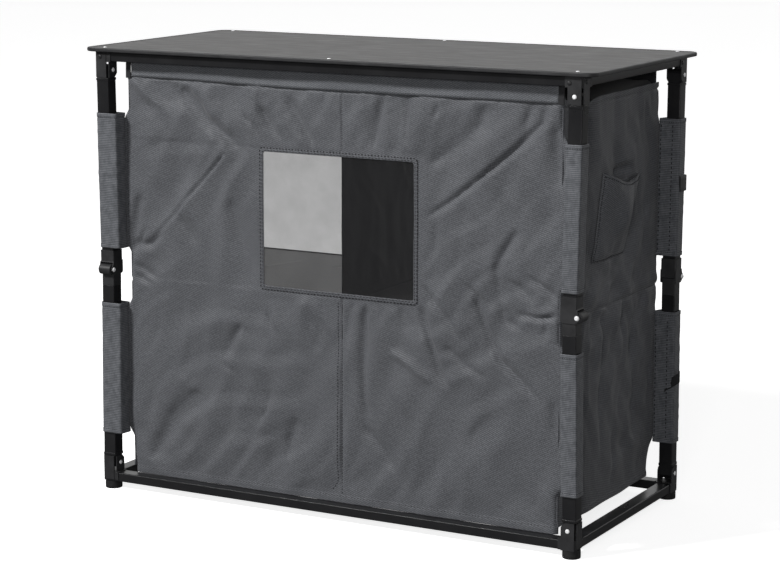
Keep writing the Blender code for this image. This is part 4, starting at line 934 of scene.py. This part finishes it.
for label, across_ends, up_ends in (("front", (0.03, 0.03), (0.02, 0.98)), ("back", (0.97, 0.97), (0.02, 0.98)),
                                    ("low", (0.02, 0.98), (0.025, 0.025)), ("mouth", (0.02, 0.98), (0.955, 0.955))):
    column, row = np.linspace(*across_ends, 60) * 47.0, np.linspace(*up_ends, 60) * 55.0
    path = pocket_points[np.rint(row).astype(int), np.rint(column).astype(int)] + np.array((0.0002, 0.0, 0.0))
    pocket_threads.append(stitch_line(f"pocket_{label}_stitches", path, (1, 0, 0), "base", 0.0052, 0.0042, 0.0009))

# The cabinet's top
# A slack sheet closes the cabinet under the worktop and sags between its seams; its near-black colour is painted shade,
# for the shadow under the worktop.
# It is sewn to the tops of the front and the side cloths.
top_x, top_y = np.meshgrid(runs((BODY_LEFT + 0.0042, BODY_RIGHT - 0.0042, 0.008)),
                           runs((BODY_FRONT + 0.0042, BODY_BACK - 0.002, 0.008)))
over_x = (top_x - top_x.min()) / np.ptp(top_x)
over_y = (top_y - top_y.min()) / np.ptp(top_y)
top_sag = 0.010 * np.sin(np.pi * over_y) * (1.0 + 0.4 * np.sin(5.0 * np.pi * over_x))
top_z = BODY_TOP - 0.004 - top_sag + 0.4 * crumple_rise(top_x, top_y, 71, 1.0) * np.sin(np.pi * over_y)
top_z -= 0.011 * soft_step(np.abs(over_x - 0.5), 0.484, 0.5)
top_cloth = cloth_piece("top_cloth", np.stack((top_x, top_y, top_z), -1), (top_x, top_y), shade_black_cloth,
                        replaced="top_panel")

# The divider
# One upright cloth parts the cabinet from front to back, and a shelf hangs on each side of it.
# It is creased from being packed flat, with long slanting wrinkles.
DIVIDER_FOLDS = (
    (2.6, 7, (-150, 600), (-90, 545), (-60, 500)), (2.2, 6, (-120, 470), (-60, 430), (0, 410)),
    (-2.6, 8, (-60, 700), (0, 640), (40, 560)), (2.4, 7, (-20, 640), (30, 560), (90, 520)),
    (-2.2, 7, (60, 720), (100, 660), (110, 600)), (2.2, 6, (40, 480), (90, 440), (140, 430)),
    (2.4, 8, (-140, 340), (-80, 280), (-70, 200)), (-2.4, 8, (20, 340), (60, 270), (50, 180)),
    (2.0, 7, (100, 320), (140, 240), (150, 150)))

wall_y, wall_z = np.meshgrid(runs((BODY_FRONT + 0.0022, BODY_BACK - 0.0060, 0.0045)),
                             runs((0.0505, BODY_TOP - 0.026, 0.0045)))
wall_share = (wall_y - wall_y.min()) / np.ptp(wall_y)
wall_rise = (fold_rise(wall_y, wall_z, DIVIDER_FOLDS) + crumple_rise(wall_y, wall_z, 81, 1.2)) * np.minimum(
    1.0, 3.0 * np.sin(np.pi * np.clip(wall_share * 0.85 + 0.02, 0.0, 1.0)))
wall_rise *= 1.0 - 0.9 * bell(wall_z, SHELF_TOP - 0.0025, 0.012)
wall_x = 0.0216 - 0.0052 * (1.0 - soft_step(wall_share, 0.0, 0.35)) + 0.8 * np.clip(wall_rise, -0.0045, 0.0045)
# The divider's near-black cloth is painted shade, for the dark inside of the cabinet.
divider = cloth_piece("divider_cloth", np.stack((wall_x, wall_y, wall_z), -1),
                      (wall_y, wall_z), shade_black_cloth, replaced="divider")

# The shelves and the floor
# Each is a stiff sheet in a sewn grey cover with cushioned edges and a few creases in the cloth.
# The sides and the divider hold the shelves, and the floor lies at the bottom hem; the left shelf's back is piped.
shelf_cover = woven("shelf_cover", (0.053, 0.054, 0.056), (0.070, 0.071, 0.074), slant=0.0, gloss=0.24,
                    crumpled=0.3, raised=0.12)
SHELF_CREASES = ((-1.0, 5, (-160, 60), (-130, 120), (-120, 170)), (0.8, 7, (-320, -60), (-260, 20), (-230, 110)),
                 (-0.8, 6, (120, -120), (180, -40), (200, 60)), (0.8, 7, (300, -100), (290, 20), (330, 120)))


def stiff_panel(name, x0, x1, z_top, thick, body, replaced):
    """A covered stiff sheet: a closed slab with cushioned edges and a creased cover, from a grid on both faces."""
    y0, y1 = BODY_FRONT + 0.0094, 0.1925
    across = runs((x0, x1, 0.006))
    deep = runs((y0, y1, 0.006))
    grid_x, grid_y = np.meshgrid(across, deep)
    edge = np.minimum(np.minimum(grid_x - x0, x1 - grid_x), np.minimum(grid_y - y0, y1 - grid_y))
    swell = 1.0 - 0.55 * np.clip(1.0 - edge / 0.007, 0.0, 1.0) ** 2
    creases = np.clip(fold_rise(grid_x, grid_y, SHELF_CREASES), -0.0012, 0.0006) * soft_step(edge, 0.0, 0.03)
    half = thick / 2.0
    top = np.stack((grid_x, grid_y, z_top - half + half * swell + creases), -1)
    under = np.stack((grid_x, grid_y, z_top - half - half * swell), -1)
    rows, columns = grid_x.shape
    quads, _ = grid_quads(rows, columns)
    low_quads = quads[:, ::-1] + rows * columns
    number = np.arange(rows * columns).reshape(rows, columns)
    rim = np.concatenate((number[0, :-1], number[:-1, -1], number[-1, :0:-1], number[:0:-1, 0]))
    after = np.roll(rim, -1)
    sides = np.stack((rim + rows * columns, after + rows * columns, after, rim), -1)
    points = np.concatenate((top.reshape(-1, 3), under.reshape(-1, 3)))
    settle(new_piece(name, points, [quads, low_quads, sides], shelf_cover, points[:, :2]), body, replaced)


stiff_panel("shelf_left_covered", BODY_LEFT + 0.006, 0.0140, SHELF_TOP, 0.005, "shelf_left", "shelf_left")
stiff_panel("shelf_right_covered", 0.0262, BODY_RIGHT - 0.006, SHELF_TOP, 0.005, "shelf_right", "shelf_right")
piping = np.stack(np.broadcast_arrays(np.linspace(BODY_LEFT + 0.008, 0.012, 60), 0.1925, SHELF_TOP - 0.0004), -1)
stitch_line("shelf_left_piping", piping, (0, 0, 1), "shelf_left", 0.0040, 0.0100, 0.0014)
stiff_panel("floor_covered", BODY_LEFT + 0.006, BODY_RIGHT - 0.006, 0.0475, 0.0045, "base", "floor_panel")

# The back straps and tabs
# Black webbing ties the cabinet's back corner to the top rail, and short tabs are sewn on the back right sleeves.
# Each is one flat strap; two of the tabs are bent round the sleeve's edge.
strap = strap_piece("strap_back_right", ((0.4190, 0.1900, 0.7420), (0.4190, 0.1905, 0.7755)), (0.0102, 0, 0),
                    (0, -1, 0))
straps.append(strap)
for name, wide, half, line in (
        ("tab_upper", 0.0275, "upper",
         ((0.4672, 0.1925, 0.5715), (0.4715, 0.1925, 0.5713), (0.4728, 0.1945, 0.5711), (0.4731, 0.2080, 0.5708),
          (0.4727, 0.2225, 0.5706), (0.4712, 0.2240, 0.5706), (0.4660, 0.2240, 0.5706))),
        ("tab_lower_under", 0.0130, "lower",
         ((0.4432, 0.1918, 0.1950), (0.4560, 0.1916, 0.2060), (0.4680, 0.1916, 0.2150))),
        ("tab_lower_over", 0.0190, "lower",
         ((0.4525, 0.1906, 0.2075), (0.4700, 0.1903, 0.2190), (0.4790, 0.1915, 0.2255), (0.4800, 0.1960, 0.2275),
          (0.4745, 0.2040, 0.2290)))):
    strap = strap_piece(name, line, (0, 0, wide), (0, -1, 0), half + "_leg_back_right")

soft_pieces = [front, pane, band, band_back, band_stitch, pocket, *pocket_threads, top_cloth, divider,
               *front_stitches, *straps]
for cloth, threads in side_cloths.values():
    soft_pieces += [cloth, *threads]
for piece in soft_pieces:
    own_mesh(piece)

# The worktop
# A thin grey laminate board sits in a black edge moulding and is screwed down to the frame.
# The laminate has a fine grain, faint rub marks and a little dust; six bright screw heads show.
BOARD_GREY = (0.038, 0.037, 0.036)

laminate = Finish("laminate", BOARD_GREY, 0.46, specular_ior_level=0.16)
board_place = laminate.place()
board_drawn = laminate.add("Mapping", Vector=board_place, Scale=(14.0, 60.0, 30.0)).outputs[0]
board_rub = laminate.grain(board_drawn, 1.0, 5.0, 0.65)
board_speck = laminate.grain(board_place, 900.0, 2.0)
board_tone = laminate.math("MULTIPLY_ADD", board_speck, 0.35, board_rub)
laminate.colour(board_tone, 0.4, 1.0, (0.034, 0.033, 0.032), (0.044, 0.043, 0.042))
laminate.dull(board_rub, 0.3, 0.7, 0.40, 0.52)
laminate.relief(board_speck, 0.00005)
edge_plastic = moulded_plastic("edge_plastic", (0.020, 0.020, 0.021))
rounded_copy("board_trim", 0.0006, 30.0, edge_plastic)
rounded_copy("table_board", 0.0002, 30.0, laminate)
# The screw heads share the rivets' near-white steel, partly painted highlight.
for number, (x, y) in enumerate([(x, y) for x in (-0.4545, 0.0, 0.4545) for y in (-0.211, 0.211)]):
    rim = 0.0034
    profile = [(rim * 0.5, -0.0012), (rim, -0.0012), (rim, 0.0002), (rim * 0.9, 0.0007), (rim * 0.6, 0.0011),
               (rim * 0.3, 0.0011), (rim * 0.26, 0.0003), (rim * 0.03, 0.0002)]
    turned_piece(f"board_screw_{number}", turned_points(profile, (x, y, 0.7998)), glint_white_steel, 50.0, "table")

# The studio
# A white floor under a white sky that is dim in reflections, with a lamp high in front at the left and a weak
# one at the right.
SKY_FILL = 0.15
SKY_FRONT = 0.12
SKY_BACK = 1.0
world = bpy.data.worlds.new("studio")
bpy.context.scene.world = world
world.use_nodes = True
sky = Nodes(world.node_tree)
rays = sky.add("LightPath").outputs
towards = sky.add("SeparateXYZ", Vector=sky.add("TexCoord").outputs["Generated"]).outputs["Y"]
mirrored = sky.add("MapRange", {"interpolation_type": "SMOOTHSTEP"}, i0=towards, i1=-0.2, i2=0.5, i3=SKY_FRONT,
                   i4=SKY_BACK).outputs[0]
glossy = sky.add("Mix", i0=rays["Is Glossy Ray"], i2=SKY_FILL, i3=mirrored).outputs[0]
seen = sky.math("MAXIMUM", rays["Is Camera Ray"], rays["Is Transmission Ray"])
background = sky.tree.nodes["Background"].inputs
background["Color"].default_value = (1.0, 1.0, 1.0, 1.0)
sky.tree.links.new(sky.add("Mix", i0=seen, i2=glossy, i3=1.0).outputs[0], background["Strength"])
for name, place_at, size, power in (("lamp_key", (-2.9, -4.2, 4.4), 0.9, 430.0),
                                    ("lamp_fill", (1.9, -3.9, 1.3), 0.8, 50.0)):
    lamp = bpy.data.objects.new(name, bpy.data.lights.new(name, "AREA"))
    bpy.context.scene.collection.objects.link(lamp)
    lamp.data.size = size
    lamp.data.energy = power
    lamp.location = place_at
    lamp.rotation_euler = (Vector(place_at) - Vector((0.0, 0.0, 0.4))).to_track_quat("Z", "Y").to_euler()
floor_paper = Finish("floor_paper", (0.80, 0.80, 0.80), 0.9)
floor_rays = floor_paper.add("LightPath").outputs
floor_paper.feed("Base Color", floor_paper.tint(floor_rays["Is Camera Ray"], (0.15, 0.15, 0.15), (0.80, 0.80, 0.80)))
floor_glow = floor_paper.math("MULTIPLY", floor_rays["Is Glossy Ray"], 0.06)
floor_glow = floor_paper.math("MULTIPLY_ADD", floor_rays["Is Camera Ray"], 0.80, floor_glow)
floor_paper.shader.inputs["Emission Color"].default_value = (1.0, 1.0, 1.0, 1.0)
floor_paper.feed("Emission Strength", floor_glow)
ground = new_piece("ground", np.array(((-30, -30, 0), (30, -30, 0), (30, 30, 0), (-30, 30, 0)), float),
                   [np.array(((0, 1, 2, 3),))], floor_paper)
bpy.context.scene.view_settings.view_transform = "Standard"
